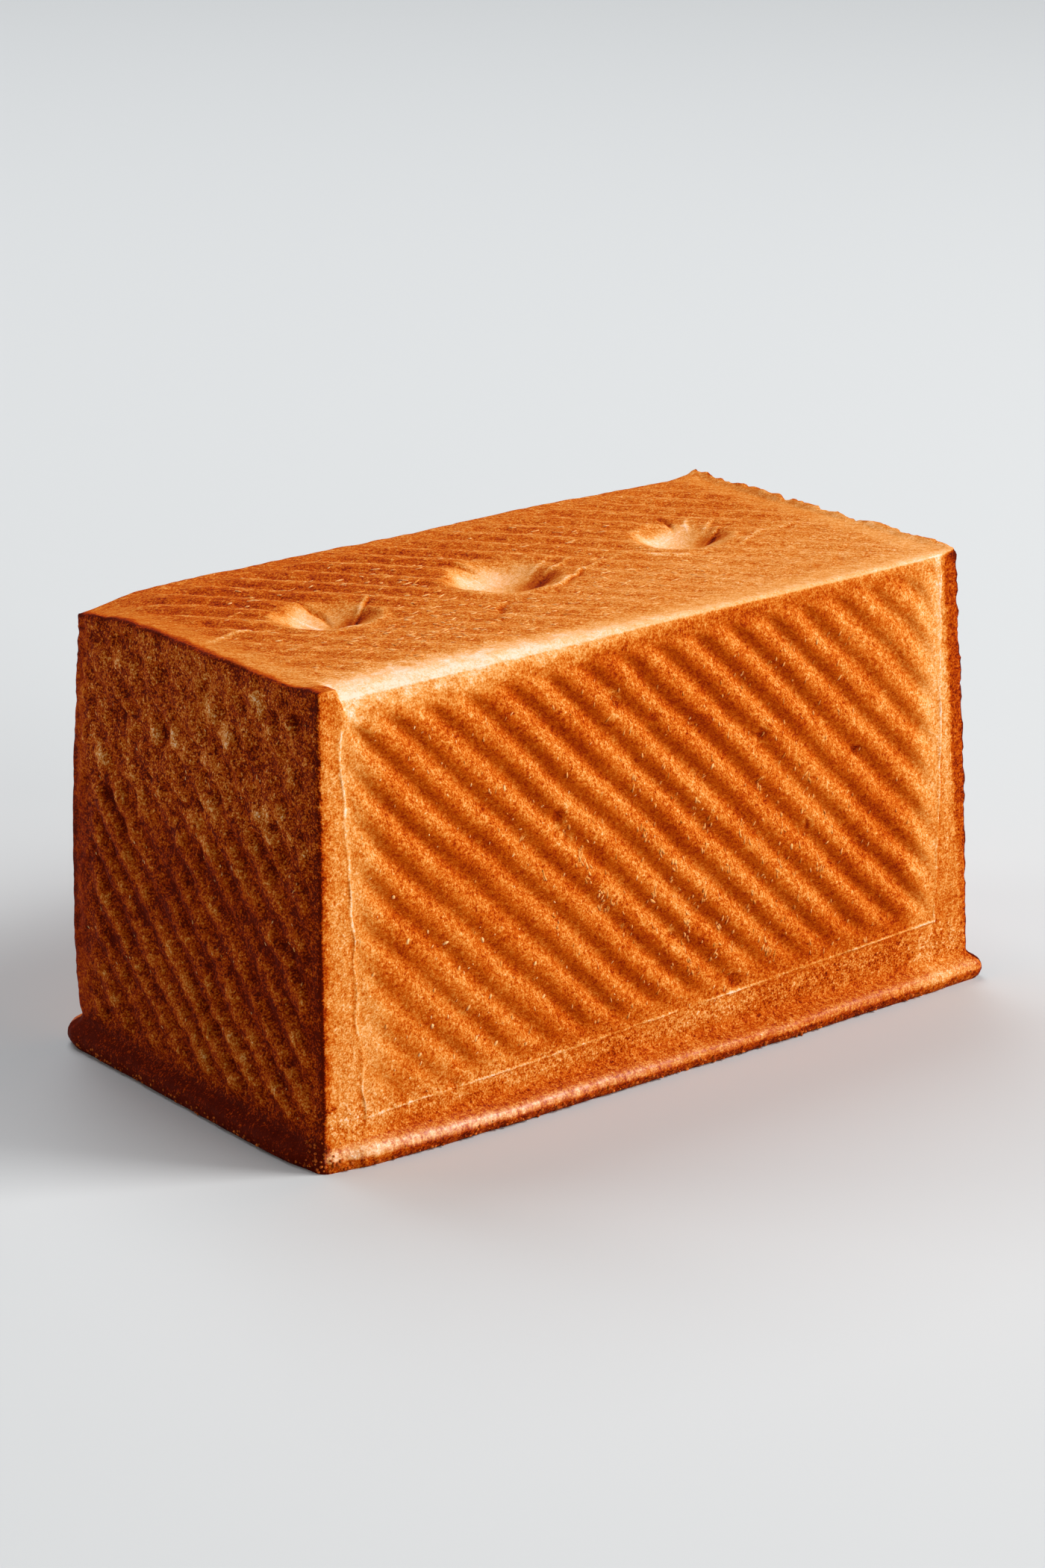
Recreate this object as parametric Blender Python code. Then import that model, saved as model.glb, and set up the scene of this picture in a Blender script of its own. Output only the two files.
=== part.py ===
"""A pullman loaf, baked under a lid in a ribbed tin and turned out upside down, as it lies.

Everything is in metres with +Z up. The origin is the middle of the flat side that the loaf lies on.
Its long side with the clear ribs faces -Y, and its shaded short side faces -X.
"""

import math
from collections import namedtuple

import bmesh
import bpy
from mathutils import Vector, noise

MM = 0.001

# The inside of the tin, mouth down
HEIGHT = 110 * MM
MOUTH_LENGTH = 196.4 * MM
MOUTH_WIDTH = 104.3 * MM
MOUTH_Z = 8 * MM
BASE_LENGTH = 188.5 * MM
BASE_WIDTH = 98.2 * MM

# The ribs pressed into the tin: the angle across them, their pitch, and where one crest lies along
# that angle. The top sank a little as it cooled, which draws its ribs wider and flatter.
Ribs = namedtuple("Ribs", "angle pitch crest")
LONG_RIBS = Ribs(math.radians(45), 7.9 * MM, -1.2 * MM)
END_RIBS = Ribs(math.radians(45), 7.9 * MM, 3.2 * MM)
TOP_RIBS = Ribs(math.radians(39), 8.5 * MM, -0.75 * MM)
RIB_DEPTH = 1.6 * MM
CUTS_PER_RIB = 4
# How flat the crests and grooves are, and how much wider the crests are than the grooves
RIB_SQUARENESS = 1.6
RIB_LEAN = 0.3

# The frame round the ribs of a wall. Its side lines stand in from the corners by the insets at the
# foot and at the top, its foot and upper lines have a height at the left and one at the right, and
# the ribs fade out over a distance inside it. The long walls have a fine crease along three sides.
Frame = namedtuple(
    "Frame", "inset_foot_left inset_top_left inset_foot_right inset_top_right"
    " foot_left foot_right upper_left upper_right fade crease"
)
CREASE_HEIGHT = 0.35 * MM
CREASE_HALF_WIDTH = 0.35 * MM
FRONT_FRAME = Frame(
    11.5 * MM, 5 * MM, 11.5 * MM, 5 * MM, 10.6 * MM, 17.2 * MM, 102 * MM, 106.5 * MM, 8 * MM, CREASE_HEIGHT
)
BACK_FRAME = Frame(
    11.5 * MM, 5 * MM, 11.5 * MM, 5 * MM, 12 * MM, 12 * MM, 106.5 * MM, 106.5 * MM, 8 * MM, CREASE_HEIGHT
)
END_FRAME = Frame(
    9 * MM, 9 * MM, 2.5 * MM, 2.5 * MM, 8 * MM, 8 * MM, 104 * MM, 104 * MM, 4 * MM, 0
)

# The field of ribs of the top, and how much of their depth is left at its back left, right and front
TOP_RIB_SHARE = 0.8
TOP_FIELD_FRONT = 41 * MM
TOP_FIELD_BACK = 45 * MM
TOP_FIELD_END = 89 * MM
TOP_FIELD_FADE = 8 * MM
RIGHT_RIBS = 0.4
RIGHT_RIBS_FROM = -30 * MM
RIGHT_RIBS_TO = 30 * MM
FRONT_RIBS = 0.25
FRONT_RIBS_FROM = 18 * MM
FRONT_RIBS_TO = -15 * MM

# The rim that squeezed out between the tin and its lid
RIM_REACH = 3.2 * MM
RIM_REACH_MIDDLE = 1.8 * MM
RIM_Z = 2.7 * MM
RIM_UNDERCUT = 0.35
# Half the height of the rim's bead above its widest line, and how squarely the bead turns over
FLARE = 3 * MM
RIM_FULLNESS = 3.5
RIM_UNEVEN = 0.18
RIM_UNEVEN_SIZE = 14 * MM
RIM_CORNER_RADIUS_NEAR = 2.5 * MM
RIM_CORNER_RADIUS_LEFT = 8.5 * MM
RIM_CORNER_RADIUS_RIGHT = 2.5 * MM
RIM_CORNER_Z = 10 * MM
# How much of the rim is missing at the near corner, and how far along it that is felt
RIM_PINCH = 0.95
RIM_PINCH_REACH = 11 * MM

# Upright corners and the edges of the top
CORNER_RADIUS = 1 * MM
SLACK_CORNER_RADIUS = 5.6 * MM
SLACK_CORNER_TOP = 32 * MM
EDGE_RADIUS = 0.9 * MM
FRONT_EDGE_RADIUS_LEFT = 7.5 * MM
FRONT_EDGE_RADIUS_RIGHT = 1.8 * MM
FRONT_EDGE_NARROWS_AT = 30 * MM

# Where the dough stands proud of the tin's box or falls short of it
BOW = 0.8 * MM
BOW_LOST_AT_CORNERS = 0.6
EAR_LENGTH = 5.6 * MM
EAR_SOFTNESS = 0.2
EAR_NOTCH_BEFORE = 0.5 * MM
EAR_NOTCH_AFTER = 1.2 * MM
EAR_DEPTH = 9 * MM
EAR_BACK_FROM = 2.7 * MM
EAR_BACK_TO = 11.7 * MM
EAR_RISE = 1.4 * MM
DROOP = 2.4 * MM
DROOP_REACH = 12 * MM
PEAK = 0.9 * MM
PEAK_REACH = 5 * MM
CRAGS = 1 * MM
CRAG_SIZE = 5 * MM
CRAG_WIDTH = 3 * MM
NEAR_CRAGS = 0.3
SWELL = 0.45 * MM
SWELL_SIZE = 38 * MM
SWELL_SEED = 1796075618

# The three hollows that the rolled pieces of dough left in the top: centre, radius and depth
HOLLOWS = (
    (-56 * MM, 3 * MM, 13 * MM, 4.0 * MM),
    (-4 * MM, 3 * MM, 15 * MM, 4.6 * MM),
    (51 * MM, 4 * MM, 12.5 * MM, 3.4 * MM),
)
HOLLOW_ROUNDNESS = 1.5
# Shares of a hollow's radius between which its skin turns from smooth to ribbed
HOLLOW_SKIN_FROM = 0.7
HOLLOW_SKIN_TO = 1.3

# Heights and distances at which the blank is cut, so that it can take its shape
RIM_LEVELS = [0.6 * MM, 1.5 * MM, RIM_Z, 3.9 * MM, 4.8 * MM, 5.8 * MM, 7.4 * MM]
WALL_LEVELS = [22 * MM, 35 * MM, 50 * MM, 65 * MM, 80 * MM, 93 * MM]
EDGE_STEPS = [0.6 * MM, 1.6 * MM, 3.2 * MM, 5.4 * MM]
TIGHT_EDGE_STEPS = EDGE_STEPS[:2]
CORNER_STEPS = [0.6 * MM, 1.8 * MM]
SLACK_CORNER_STEPS = [3.6 * MM, 6 * MM, 9 * MM]
ROW_STEP = 3.4 * MM
ROWS_APART_OUTSIDE_HOLLOWS = 3
HOLLOWS_FRONT = 14 * MM
HOLLOWS_BACK = 20 * MM
RIM_COLUMN = 5 * MM
EDGE_COLUMN = 7 * MM
ON_PLANE = 0.15 * MM

# Shares of a normal's length by which a face counts as facing one way, or as facing across it
SAME_WAY = 0.9
ACROSS = 0.5

CRUST_COLOUR = (0.60, 0.24, 0.055, 1.0)
CRUST_ROUGHNESS = 0.62

RIGHTWARD = Vector((1, 0, 0))
BACKWARD = Vector((0, 1, 0))
UP = Vector((0, 0, 1))
# Zones of a side: its field of ribs, and the skirt below it
FIELD = 1
SKIRT = 2

# One side of the tin as seen from outside: which way is out, right and up, its ribs and its frame
Panel = namedtuple("Panel", "out right up ribs frame")
FRONT = Panel(-BACKWARD, RIGHTWARD, UP, LONG_RIBS, FRONT_FRAME)
LEFT = Panel(-RIGHTWARD, -BACKWARD, UP, END_RIBS, END_FRAME)
BACK = Panel(BACKWARD, -RIGHTWARD, UP, LONG_RIBS, BACK_FRAME)
RIGHT = Panel(RIGHTWARD, BACKWARD, UP, END_RIBS, END_FRAME)
TOP = Panel(UP, RIGHTWARD, BACKWARD, TOP_RIBS, None)
WALLS = (FRONT, LEFT, BACK, RIGHT)


def smooth(low, high, value):
    """0 below low, 1 above high, and an easy curve between them."""
    share = min(max((value - low) / (high - low), 0.0), 1.0)
    return share * share * (3 - 2 * share)


def half_length(z):
    return (BASE_LENGTH + (MOUTH_LENGTH - BASE_LENGTH) * (HEIGHT - z) / (HEIGHT - MOUTH_Z)) / 2


def half_width(z):
    return (BASE_WIDTH + (MOUTH_WIDTH - BASE_WIDTH) * (HEIGHT - z) / (HEIGHT - MOUTH_Z)) / 2


def half_span(panel, z):
    """Half the width of a wall at a height."""
    return half_length(z) if panel.right.x else half_width(z)


def half_span_out(panel, z):
    """Half the distance between a wall and the one behind it, at a height."""
    return half_length(z) if panel.out.x else half_width(z)


def cut(bm, faces, point, normal, near=ON_PLANE):
    """Draws the line where a plane crosses some faces."""
    edges = {edge for face in faces for edge in face.edges}
    verts = {vert for face in faces for vert in face.verts}
    geometry = list(verts) + list(edges) + list(faces)
    bmesh.ops.bisect_plane(bm, geom=geometry, dist=near, plane_co=point, plane_no=normal)


def facing(bm, out):
    return [face for face in bm.faces if face.normal.dot(out) > SAME_WAY]


def blank():
    """A box with the tin's taper."""
    bm = bmesh.new()
    bmesh.ops.create_cube(bm, size=1.0)
    for vert in bm.verts:
        z = HEIGHT if vert.co.z > 0 else 0
        vert.co = (math.copysign(half_length(z), vert.co.x), math.copysign(half_width(z), vert.co.y), z)
    bm.normal_update()
    return bm


def line_through(panel, across_low, z_low, across_high, z_high):
    """A point and a normal for the plane that meets a wall in the line through two of its points."""
    start = panel.right * across_low + UP * z_low
    along = panel.right * (across_high - across_low) + UP * (z_high - z_low)
    return start, along.cross(panel.out)


def frame_lines(panel):
    """The four lines round a wall's ribs: left, right, foot and upper."""
    frame = panel.frame
    foot, top = half_span(panel, MOUTH_Z), half_span(panel, HEIGHT)
    left, right = frame.inset_foot_left - foot, foot - frame.inset_foot_right
    return (
        line_through(panel, left, MOUTH_Z, frame.inset_top_left - top, HEIGHT),
        line_through(panel, right, MOUTH_Z, top - frame.inset_top_right, HEIGHT),
        line_through(panel, left, frame.foot_left, right, frame.foot_right),
        line_through(panel, left, frame.upper_left, right, frame.upper_right),
    )


def wall_depths(panel, point):
    """How far inside each of the four frame lines a point lies."""
    left, right, foot, top = frame_lines(panel)
    return [
        (point - start).dot(normal.normalized()) * sign
        for (start, normal), sign in ((left, 1), (right, -1), (foot, -1), (top, 1))
    ]


def top_depths(point):
    return [
        point.x + TOP_FIELD_END,
        TOP_FIELD_END - point.x,
        point.y + TOP_FIELD_FRONT,
        TOP_FIELD_BACK - point.y,
    ]


def direction_across(panel):
    return panel.right * math.cos(panel.ribs.angle) + panel.up * math.sin(panel.ribs.angle)


def across_ribs(panel, point):
    """Distance across the ribs from a crest."""
    return point.dot(direction_across(panel)) - panel.ribs.crest


def field_of(bm, panel, zone):
    """The faces of a side that lie within the frame of its ribs."""
    return [face for face in facing(bm, panel.out) if face[zone] == FIELD]


def cut_ribs(bm, panel, zone):
    """Draws the mesh lines along the ribs of one side, halfway between each crest, flank and groove."""
    direction = direction_across(panel)
    step = panel.ribs.pitch / CUTS_PER_RIB
    reach = [across_ribs(panel, vert.co) for face in field_of(bm, panel, zone) for vert in face.verts]
    for number in range(math.floor(min(reach) / step), math.ceil(max(reach) / step) + 1):
        distance = panel.ribs.crest + (number + 0.5) * step
        cut(bm, field_of(bm, panel, zone), direction * distance, direction)


def cut_wall(bm, panel, zone):
    """Frame lines, then rib lines, on one wall."""
    for start, normal in frame_lines(panel):
        cut(bm, facing(bm, panel.out), start, normal)
    for face in facing(bm, panel.out):
        middle = face.calc_center_median()
        depths = wall_depths(panel, middle)
        if min(depths) > 0:
            face[zone] = FIELD
        elif depths[2] < 0:
            face[zone] = SKIRT
    cut_ribs(bm, panel, zone)


def cut_top(bm, zone):
    """The edge steps and the rib lines of the top."""
    for panel in WALLS:
        steps = EDGE_STEPS if panel is FRONT else TIGHT_EDGE_STEPS
        for step in steps:
            cut(bm, facing(bm, UP), panel.out * (half_span_out(panel, HEIGHT) - step), panel.out)
    for panel, distance in (
        (FRONT, TOP_FIELD_FRONT), (BACK, TOP_FIELD_BACK), (LEFT, TOP_FIELD_END), (RIGHT, TOP_FIELD_END)
    ):
        cut(bm, facing(bm, UP), panel.out * distance, panel.out)
    for face in facing(bm, UP):
        if min(top_depths(face.calc_center_median())) > 0:
            face[zone] = FIELD
    cut_ribs(bm, TOP, zone)
    for row in range(math.floor(-TOP_FIELD_FRONT / ROW_STEP), math.ceil(TOP_FIELD_BACK / ROW_STEP)):
        y = row * ROW_STEP
        if -HOLLOWS_FRONT < y < HOLLOWS_BACK or row % ROWS_APART_OUTSIDE_HOLLOWS == 0:
            cut(bm, field_of(bm, TOP, zone), BACKWARD * y, BACKWARD)


def in_skirt(face, zone):
    return face[zone] == SKIRT


def at_top_edge(face, zone):
    return face[zone] != FIELD and face.calc_center_median().z > HEIGHT - EDGE_STEPS[-1]


def cut_columns(bm, zone, spacing, chosen):
    """Upright lines all round, through the faces that the test chooses."""
    for axis, reach in ((RIGHTWARD, half_length(0)), (BACKWARD, half_width(0))):
        count = math.floor(reach / spacing)
        for number in range(-count, count + 1):
            faces = [
                face for face in bm.faces if abs(face.normal.dot(axis)) < ACROSS and chosen(face, zone)
            ]
            cut(bm, faces, axis * number * spacing, axis)


def cut_corners(bm, zone):
    """Upright lines beside the four corners, close together where the corner is tight."""
    for panel in WALLS:
        slope = (half_span(panel, 0) - half_span(panel, HEIGHT)) / HEIGHT
        for side in (-1, 1):
            normal = panel.right * side + UP * slope
            for step in CORNER_STEPS + SLACK_CORNER_STEPS:
                faces = facing(bm, panel.out)
                if step in SLACK_CORNER_STEPS:
                    faces = [face for face in faces if face.calc_center_median().z < SLACK_CORNER_TOP]
                    faces = [face for face in faces if face[zone] != FIELD]
                cut(bm, faces, panel.right * side * (half_span(panel, 0) - step), normal)


def cut_blank(bm):
    """Every line that the loaf's form needs, drawn on the flat faces of the blank."""
    zone = bm.faces.layers.int.new("zone")
    cut_top(bm, zone)
    for panel in WALLS:
        cut_wall(bm, panel, zone)
    for level in RIM_LEVELS + WALL_LEVELS + [HEIGHT - step for step in EDGE_STEPS]:
        cut(bm, [face for face in bm.faces if abs(face.normal.z) < ACROSS], UP * level, UP)
    cut_corners(bm, zone)
    cut_columns(bm, zone, RIM_COLUMN, in_skirt)
    cut_columns(bm, zone, EDGE_COLUMN, at_top_edge)


def round_off(first, second, radius):
    """Two distances inward from the walls that meet at an edge, after the edge is rounded."""
    a, b = radius - first, radius - second
    if a <= 0 or b <= 0:
        return first, second
    share = max(a, b) / math.hypot(a, b)
    return radius - a * share, radius - b * share


def corner_radius(x, y, z):
    """Radius of the upright corner nearest to a point: wide at the rim, and slack at the far left foot."""
    wall = CORNER_RADIUS
    if x < 0 < y:
        wall += (SLACK_CORNER_RADIUS - CORNER_RADIUS) * (1 - smooth(0, SLACK_CORNER_TOP, z))
    rim = RIM_CORNER_RADIUS_RIGHT
    if x < 0:
        rim = RIM_CORNER_RADIUS_NEAR if y < 0 else RIM_CORNER_RADIUS_LEFT
    return wall + (rim - wall) * (1 - smooth(RIM_Z, RIM_CORNER_Z, z))


def front_edge_radius(x):
    """The front edge of the top is tight at its ear, then full and round, and narrows to the right."""
    ear_end = EAR_LENGTH - BASE_LENGTH / 2
    narrowed = smooth(ear_end, FRONT_EDGE_NARROWS_AT, x)
    wide = FRONT_EDGE_RADIUS_LEFT + (FRONT_EDGE_RADIUS_RIGHT - FRONT_EDGE_RADIUS_LEFT) * narrowed
    past_ear = smooth(ear_end - EAR_NOTCH_BEFORE, ear_end + EAR_NOTCH_AFTER, x)
    return EDGE_RADIUS + (wide - EDGE_RADIUS) * past_ear


def rim_offset(x, y, z):
    """How far the foot flares outward at a height."""
    if z > RIM_Z:
        share = math.exp(-(((z - RIM_Z) / FLARE) ** RIM_FULLNESS))
    else:
        share = 1 - RIM_UNDERCUT * ((RIM_Z - z) / RIM_Z) ** 2
    middle = 1 - (x / half_length(0)) ** 2
    uneven = 1 + RIM_UNEVEN * noise.noise(Vector((x, y, 0)) / RIM_UNEVEN_SIZE)
    to_near = math.hypot(x + half_length(z), y + half_width(z)) / RIM_PINCH_REACH
    share *= 1 - RIM_PINCH * math.exp(-(to_near**2))
    return (RIM_REACH + RIM_REACH_MIDDLE * middle) * share * uneven


def rib_height(panel, point, inside, fade):
    """The ribs of one field, full depth inside it and level at its frame."""
    if inside <= 0:
        return 0
    wave = math.cos(2 * math.pi * across_ribs(panel, point) / panel.ribs.pitch) + RIB_LEAN
    squared = math.tanh(RIB_SQUARENESS * wave) / math.tanh(RIB_SQUARENESS)
    return RIB_DEPTH / 2 * squared * smooth(0, fade, inside)


def crease_height(panel, depths):
    """The fine fold that runs along the left, right and foot lines of a frame."""
    nearest = min(abs(depth) for depth in depths[:3])
    if min(depths) < -CREASE_HALF_WIDTH or nearest > CREASE_HALF_WIDTH:
        return 0
    return panel.frame.crease * (1 - nearest / CREASE_HALF_WIDTH)


def top_rib_share(x, y):
    """The ribs of the top are deepest at its back left. They fade to its right and to its front."""
    to_right = smooth(RIGHT_RIBS_FROM, RIGHT_RIBS_TO, x)
    to_front = smooth(-FRONT_RIBS_FROM, -FRONT_RIBS_TO, -y)
    return TOP_RIB_SHARE * (1 - (1 - RIGHT_RIBS) * to_right) * (1 - (1 - FRONT_RIBS) * to_front)


def hollow_depth(x, y):
    """Depth of the nearest of the three hollows, a bowl with a soft lip, and how far it smooths the ribs."""
    depth = 0
    ribbed = 1
    for centre_x, centre_y, radius, deepest in HOLLOWS:
        share = math.hypot(x - centre_x, y - centre_y) / radius
        ribbed *= smooth(HOLLOW_SKIN_FROM, HOLLOW_SKIN_TO, share)
        depth += deepest * max(1 - share * share, 0) ** HOLLOW_ROUNDNESS
    return depth, ribbed


def surface_relief(point):
    """Outward movement of a blank's point by ribs, creases and hollows."""
    if point.z > HEIGHT - ON_PLANE:
        depth, ribbed = hollow_depth(point.x, point.y)
        ribs = rib_height(TOP, point, min(top_depths(point)), TOP_FIELD_FADE)
        return UP * (ribs * ribbed * top_rib_share(point.x, point.y) - depth)
    for panel in WALLS:
        if half_span_out(panel, point.z) - point.dot(panel.out) < ON_PLANE:
            depths = wall_depths(panel, point)
            ribs = rib_height(panel, point, min(depths), panel.frame.fade)
            return panel.out * (ribs + crease_height(panel, depths))
    return Vector((0, 0, 0))


def corner_lift(x, y, z):
    """Rise of the proud near corner and of the far corner's peak, less the fall of the slack left corner."""
    upper = smooth(HEIGHT - EAR_DEPTH, HEIGHT, z)
    ear = 1 - smooth(1 - EAR_SOFTNESS, 1 + EAR_SOFTNESS, (x + BASE_LENGTH / 2) / EAR_LENGTH)
    ear *= 1 - smooth(EAR_BACK_FROM, EAR_BACK_TO, y + BASE_WIDTH / 2)
    to_left = math.hypot(x + BASE_LENGTH / 2, y - BASE_WIDTH / 2)
    to_far = math.hypot(x - BASE_LENGTH / 2, y - BASE_WIDTH / 2)
    droop = math.exp(-((to_left / DROOP_REACH) ** 2))
    peak = math.exp(-((to_far / PEAK_REACH) ** 2))
    return (EAR_RISE * ear + PEAK * peak - DROOP * droop) * upper


def crags(x, y, z):
    """Crumbs that stand along the far short edge of the top, and a faint wave along the near one."""
    upper = smooth(HEIGHT - CRAG_WIDTH, HEIGHT, z)
    wave = noise.noise(Vector((x, y, 0)) / CRAG_SIZE)
    far_end = smooth(BASE_LENGTH / 2 - CRAG_WIDTH, BASE_LENGTH / 2, x) * (1 + wave)
    near_end = smooth(BASE_LENGTH / 2 - CRAG_WIDTH, BASE_LENGTH / 2, -x) * wave * NEAR_CRAGS
    return CRAGS * (far_end + near_end) * upper


def shaped(point):
    """Where a point of the flat-sided blank ends up on the loaf."""
    x, y, z = point
    relief = surface_relief(point)
    inward_x, inward_y = half_length(z) - abs(x), half_width(z) - abs(y)
    inward_x, inward_y = round_off(inward_x, inward_y, corner_radius(x, y, z))
    below = HEIGHT - z
    inward_x, below = round_off(inward_x, below, EDGE_RADIUS)
    edge_radius = front_edge_radius(x) if y < 0 else EDGE_RADIUS
    inward_y, below = round_off(inward_y, below, edge_radius)
    rise = math.sin(math.pi * smooth(MOUTH_Z, HEIGHT, z))
    bow_x = BOW * rise * (1 - BOW_LOST_AT_CORNERS * (y / half_width(z)) ** 2)
    bow_y = BOW * rise * (1 - BOW_LOST_AT_CORNERS * (x / half_length(z)) ** 2)
    flare = rim_offset(x, y, z)
    moved = Vector((
        math.copysign(max(half_length(z) - inward_x, 0), x) * (1 + (bow_x + flare) / half_length(z)),
        math.copysign(max(half_width(z) - inward_y, 0), y) * (1 + (bow_y + flare) / half_width(z)),
        HEIGHT - below,
    ))
    swell = noise.noise_vector(point / SWELL_SIZE) * SWELL * smooth(0, MOUTH_Z, z)
    moved += relief + swell
    moved.z += corner_lift(x, y, z) + crags(x, y, z)
    return moved


def crust_material():
    material = bpy.data.materials.new("baked_crust")
    material.use_nodes = True
    shader = material.node_tree.nodes["Principled BSDF"]
    shader.inputs["Base Color"].default_value = CRUST_COLOUR
    shader.inputs["Roughness"].default_value = CRUST_ROUGHNESS
    shader.inputs["Metallic"].default_value = 0
    return material


def make_loaf(collection):
    bm = blank()
    cut_blank(bm)
    for vert, place in [(vert, shaped(vert.co)) for vert in bm.verts]:
        vert.co = place
    bmesh.ops.triangulate(bm, faces=bm.faces[:], quad_method="SHORT_EDGE", ngon_method="BEAUTY")
    bmesh.ops.recalc_face_normals(bm, faces=bm.faces[:])
    mesh = bpy.data.meshes.new("loaf")
    bm.to_mesh(mesh)
    bm.free()
    mesh.shade_smooth()
    mesh.materials.append(crust_material())
    loaf = bpy.data.objects.new("loaf", mesh)
    collection.objects.link(loaf)
    return loaf


def main():
    for obj in list(bpy.data.objects):
        bpy.data.objects.remove(obj, do_unlink=True)
    # The pattern of noise_vector shifts with a seed, which is the time of day unless it is set.
    noise.seed_set(SWELL_SEED)
    collection = bpy.data.collections.new("pullman_loaf")
    bpy.context.scene.collection.children.link(collection)
    loaf = make_loaf(collection)
    print("loaf:", len(loaf.data.vertices), "points,", len(loaf.data.polygons), "triangles")


main()
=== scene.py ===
# %% [markdown]
# # A pullman loaf
#
# A pullman loaf is baked in a long tin under a lid, so it comes out as a box. This one lies upside down,
# as it was turned out: the side that the lid pressed flat is underneath, and the base of the tin drew
# the top. The tin's ribs run aslant over every side, a smooth frame lies round each field of ribs, and
# a thin rim squeezed out where the lid closed.
#
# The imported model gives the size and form. This script dresses it with a crust of the same form, fine
# enough for folds, tears and crumbs, and in baked colours.

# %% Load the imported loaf
import math
import random

import bmesh
import bpy
import numpy as np
from mathutils import Matrix, Vector, noise
from mathutils.bvhtree import BVHTree


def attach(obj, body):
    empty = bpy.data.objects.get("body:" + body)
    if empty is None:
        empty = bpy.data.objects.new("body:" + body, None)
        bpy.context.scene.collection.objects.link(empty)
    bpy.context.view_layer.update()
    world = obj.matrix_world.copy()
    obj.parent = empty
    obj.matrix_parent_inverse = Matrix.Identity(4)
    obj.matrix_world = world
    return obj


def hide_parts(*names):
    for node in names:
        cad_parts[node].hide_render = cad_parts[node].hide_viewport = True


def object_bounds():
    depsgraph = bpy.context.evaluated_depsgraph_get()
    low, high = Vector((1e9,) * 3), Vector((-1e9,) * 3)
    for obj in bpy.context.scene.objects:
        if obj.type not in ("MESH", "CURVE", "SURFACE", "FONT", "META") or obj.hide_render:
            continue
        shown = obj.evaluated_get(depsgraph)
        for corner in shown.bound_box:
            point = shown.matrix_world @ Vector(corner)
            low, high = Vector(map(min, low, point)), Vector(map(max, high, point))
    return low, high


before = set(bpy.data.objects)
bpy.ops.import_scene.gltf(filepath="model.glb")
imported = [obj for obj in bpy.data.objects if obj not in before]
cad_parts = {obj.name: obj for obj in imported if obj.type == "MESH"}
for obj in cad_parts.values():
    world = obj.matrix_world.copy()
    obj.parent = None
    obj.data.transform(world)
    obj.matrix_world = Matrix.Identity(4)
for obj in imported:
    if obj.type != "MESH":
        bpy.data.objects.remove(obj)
cad_low, cad_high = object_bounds()
MM = 0.001
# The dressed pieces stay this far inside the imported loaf's box.
CLEARANCE = 0.02 * MM
box_low, box_high = np.array(cad_low) + CLEARANCE, np.array(cad_high) - CLEARANCE
print("packed loaf, mm:", [round(side / MM, 1) for side in cad_high - cad_low])

# %% [markdown]
# ## Camera
#
# The loaf's straight edges fix the camera: it looks down at 18.6 degrees, turned 37.5 degrees to the
# loaf's left, from a metre away through a long lens, so the far end looks almost as tall as the near
# one. A camera looks along its own -Z. Its axes go into a matrix, which is surer than three angles.

# %% Camera
CAMERA_AZIMUTH = math.radians(-37.533)
CAMERA_ELEVATION = math.radians(18.561)
CAMERA_ROLL = math.radians(-0.544)
CAMERA_DISTANCE = 1043.6 * MM
CAMERA_TARGET = Vector((-1.057, 0, 58.10)) * MM
LENS, SENSOR_WIDTH = 99.35, 36


def new_object(name, data):
    """An object of the scene that holds the data."""
    made = bpy.data.objects.new(name, data)
    bpy.context.scene.collection.objects.link(made)
    return made


def mesh_of(bm, name):
    """The mesh of a bmesh, which is then freed."""
    mesh = bpy.data.meshes.new(name)
    bm.to_mesh(mesh)
    bm.free()
    return mesh


camera_data = bpy.data.cameras.new("camera")
camera_data.lens = LENS
camera_data.sensor_width = SENSOR_WIDTH
camera = new_object("camera", camera_data)
bpy.context.scene.camera = camera

back = Vector((
    math.sin(CAMERA_AZIMUTH) * math.cos(CAMERA_ELEVATION),
    -math.cos(CAMERA_AZIMUTH) * math.cos(CAMERA_ELEVATION),
    math.sin(CAMERA_ELEVATION),
))
level_right = Vector((math.cos(CAMERA_AZIMUTH), math.sin(CAMERA_AZIMUTH), 0))
level_up = back.cross(level_right)
right = level_right * math.cos(CAMERA_ROLL) + level_up * math.sin(CAMERA_ROLL)
turn = Matrix((right, back.cross(right), back)).transposed()
camera.matrix_world = Matrix.Translation(CAMERA_TARGET + back * CAMERA_DISTANCE) @ turn.to_4x4()
print("camera at, mm:", [round(place / MM) for place in camera.location])

# %% [markdown]
# ## Studio
#
# Four large soft lights do the work. The key light stands high on the right and in front. It shades one
# flank of every rib, and its reflection draws the bright line along the rim. One in front opens the
# shadows, one above and behind lights the top, and a weak one on the left grazes the near short side,
# which the others leave in shade. The floor is a plain sheet whose end is never seen. The Standard view
# keeps the strong oranges of a crust, which the filmic views would wash out.

# %% Helpers for materials
def linear(hex_colour):
    """The linear colour of an sRGB hex value."""
    parts = [int(hex_colour[place:place + 2], 16) / 255 for place in (1, 3, 5)]
    return [part / 12.92 if part <= 0.04045 else ((part + 0.055) / 1.055) ** 2.4 for part in parts] + [1]


def add_node(tree, kind, settings=None, inputs=None):
    """Adds a node, sets its options, and gives its sockets values or links."""
    made = tree.nodes.new(kind)
    for name, value in (settings or {}).items():
        setattr(made, name, value)
    for name, value in (inputs or {}).items():
        if isinstance(value, bpy.types.NodeSocket):
            tree.links.new(value, made.inputs[name])
        else:
            made.inputs[name].default_value = value
    return made


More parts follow.
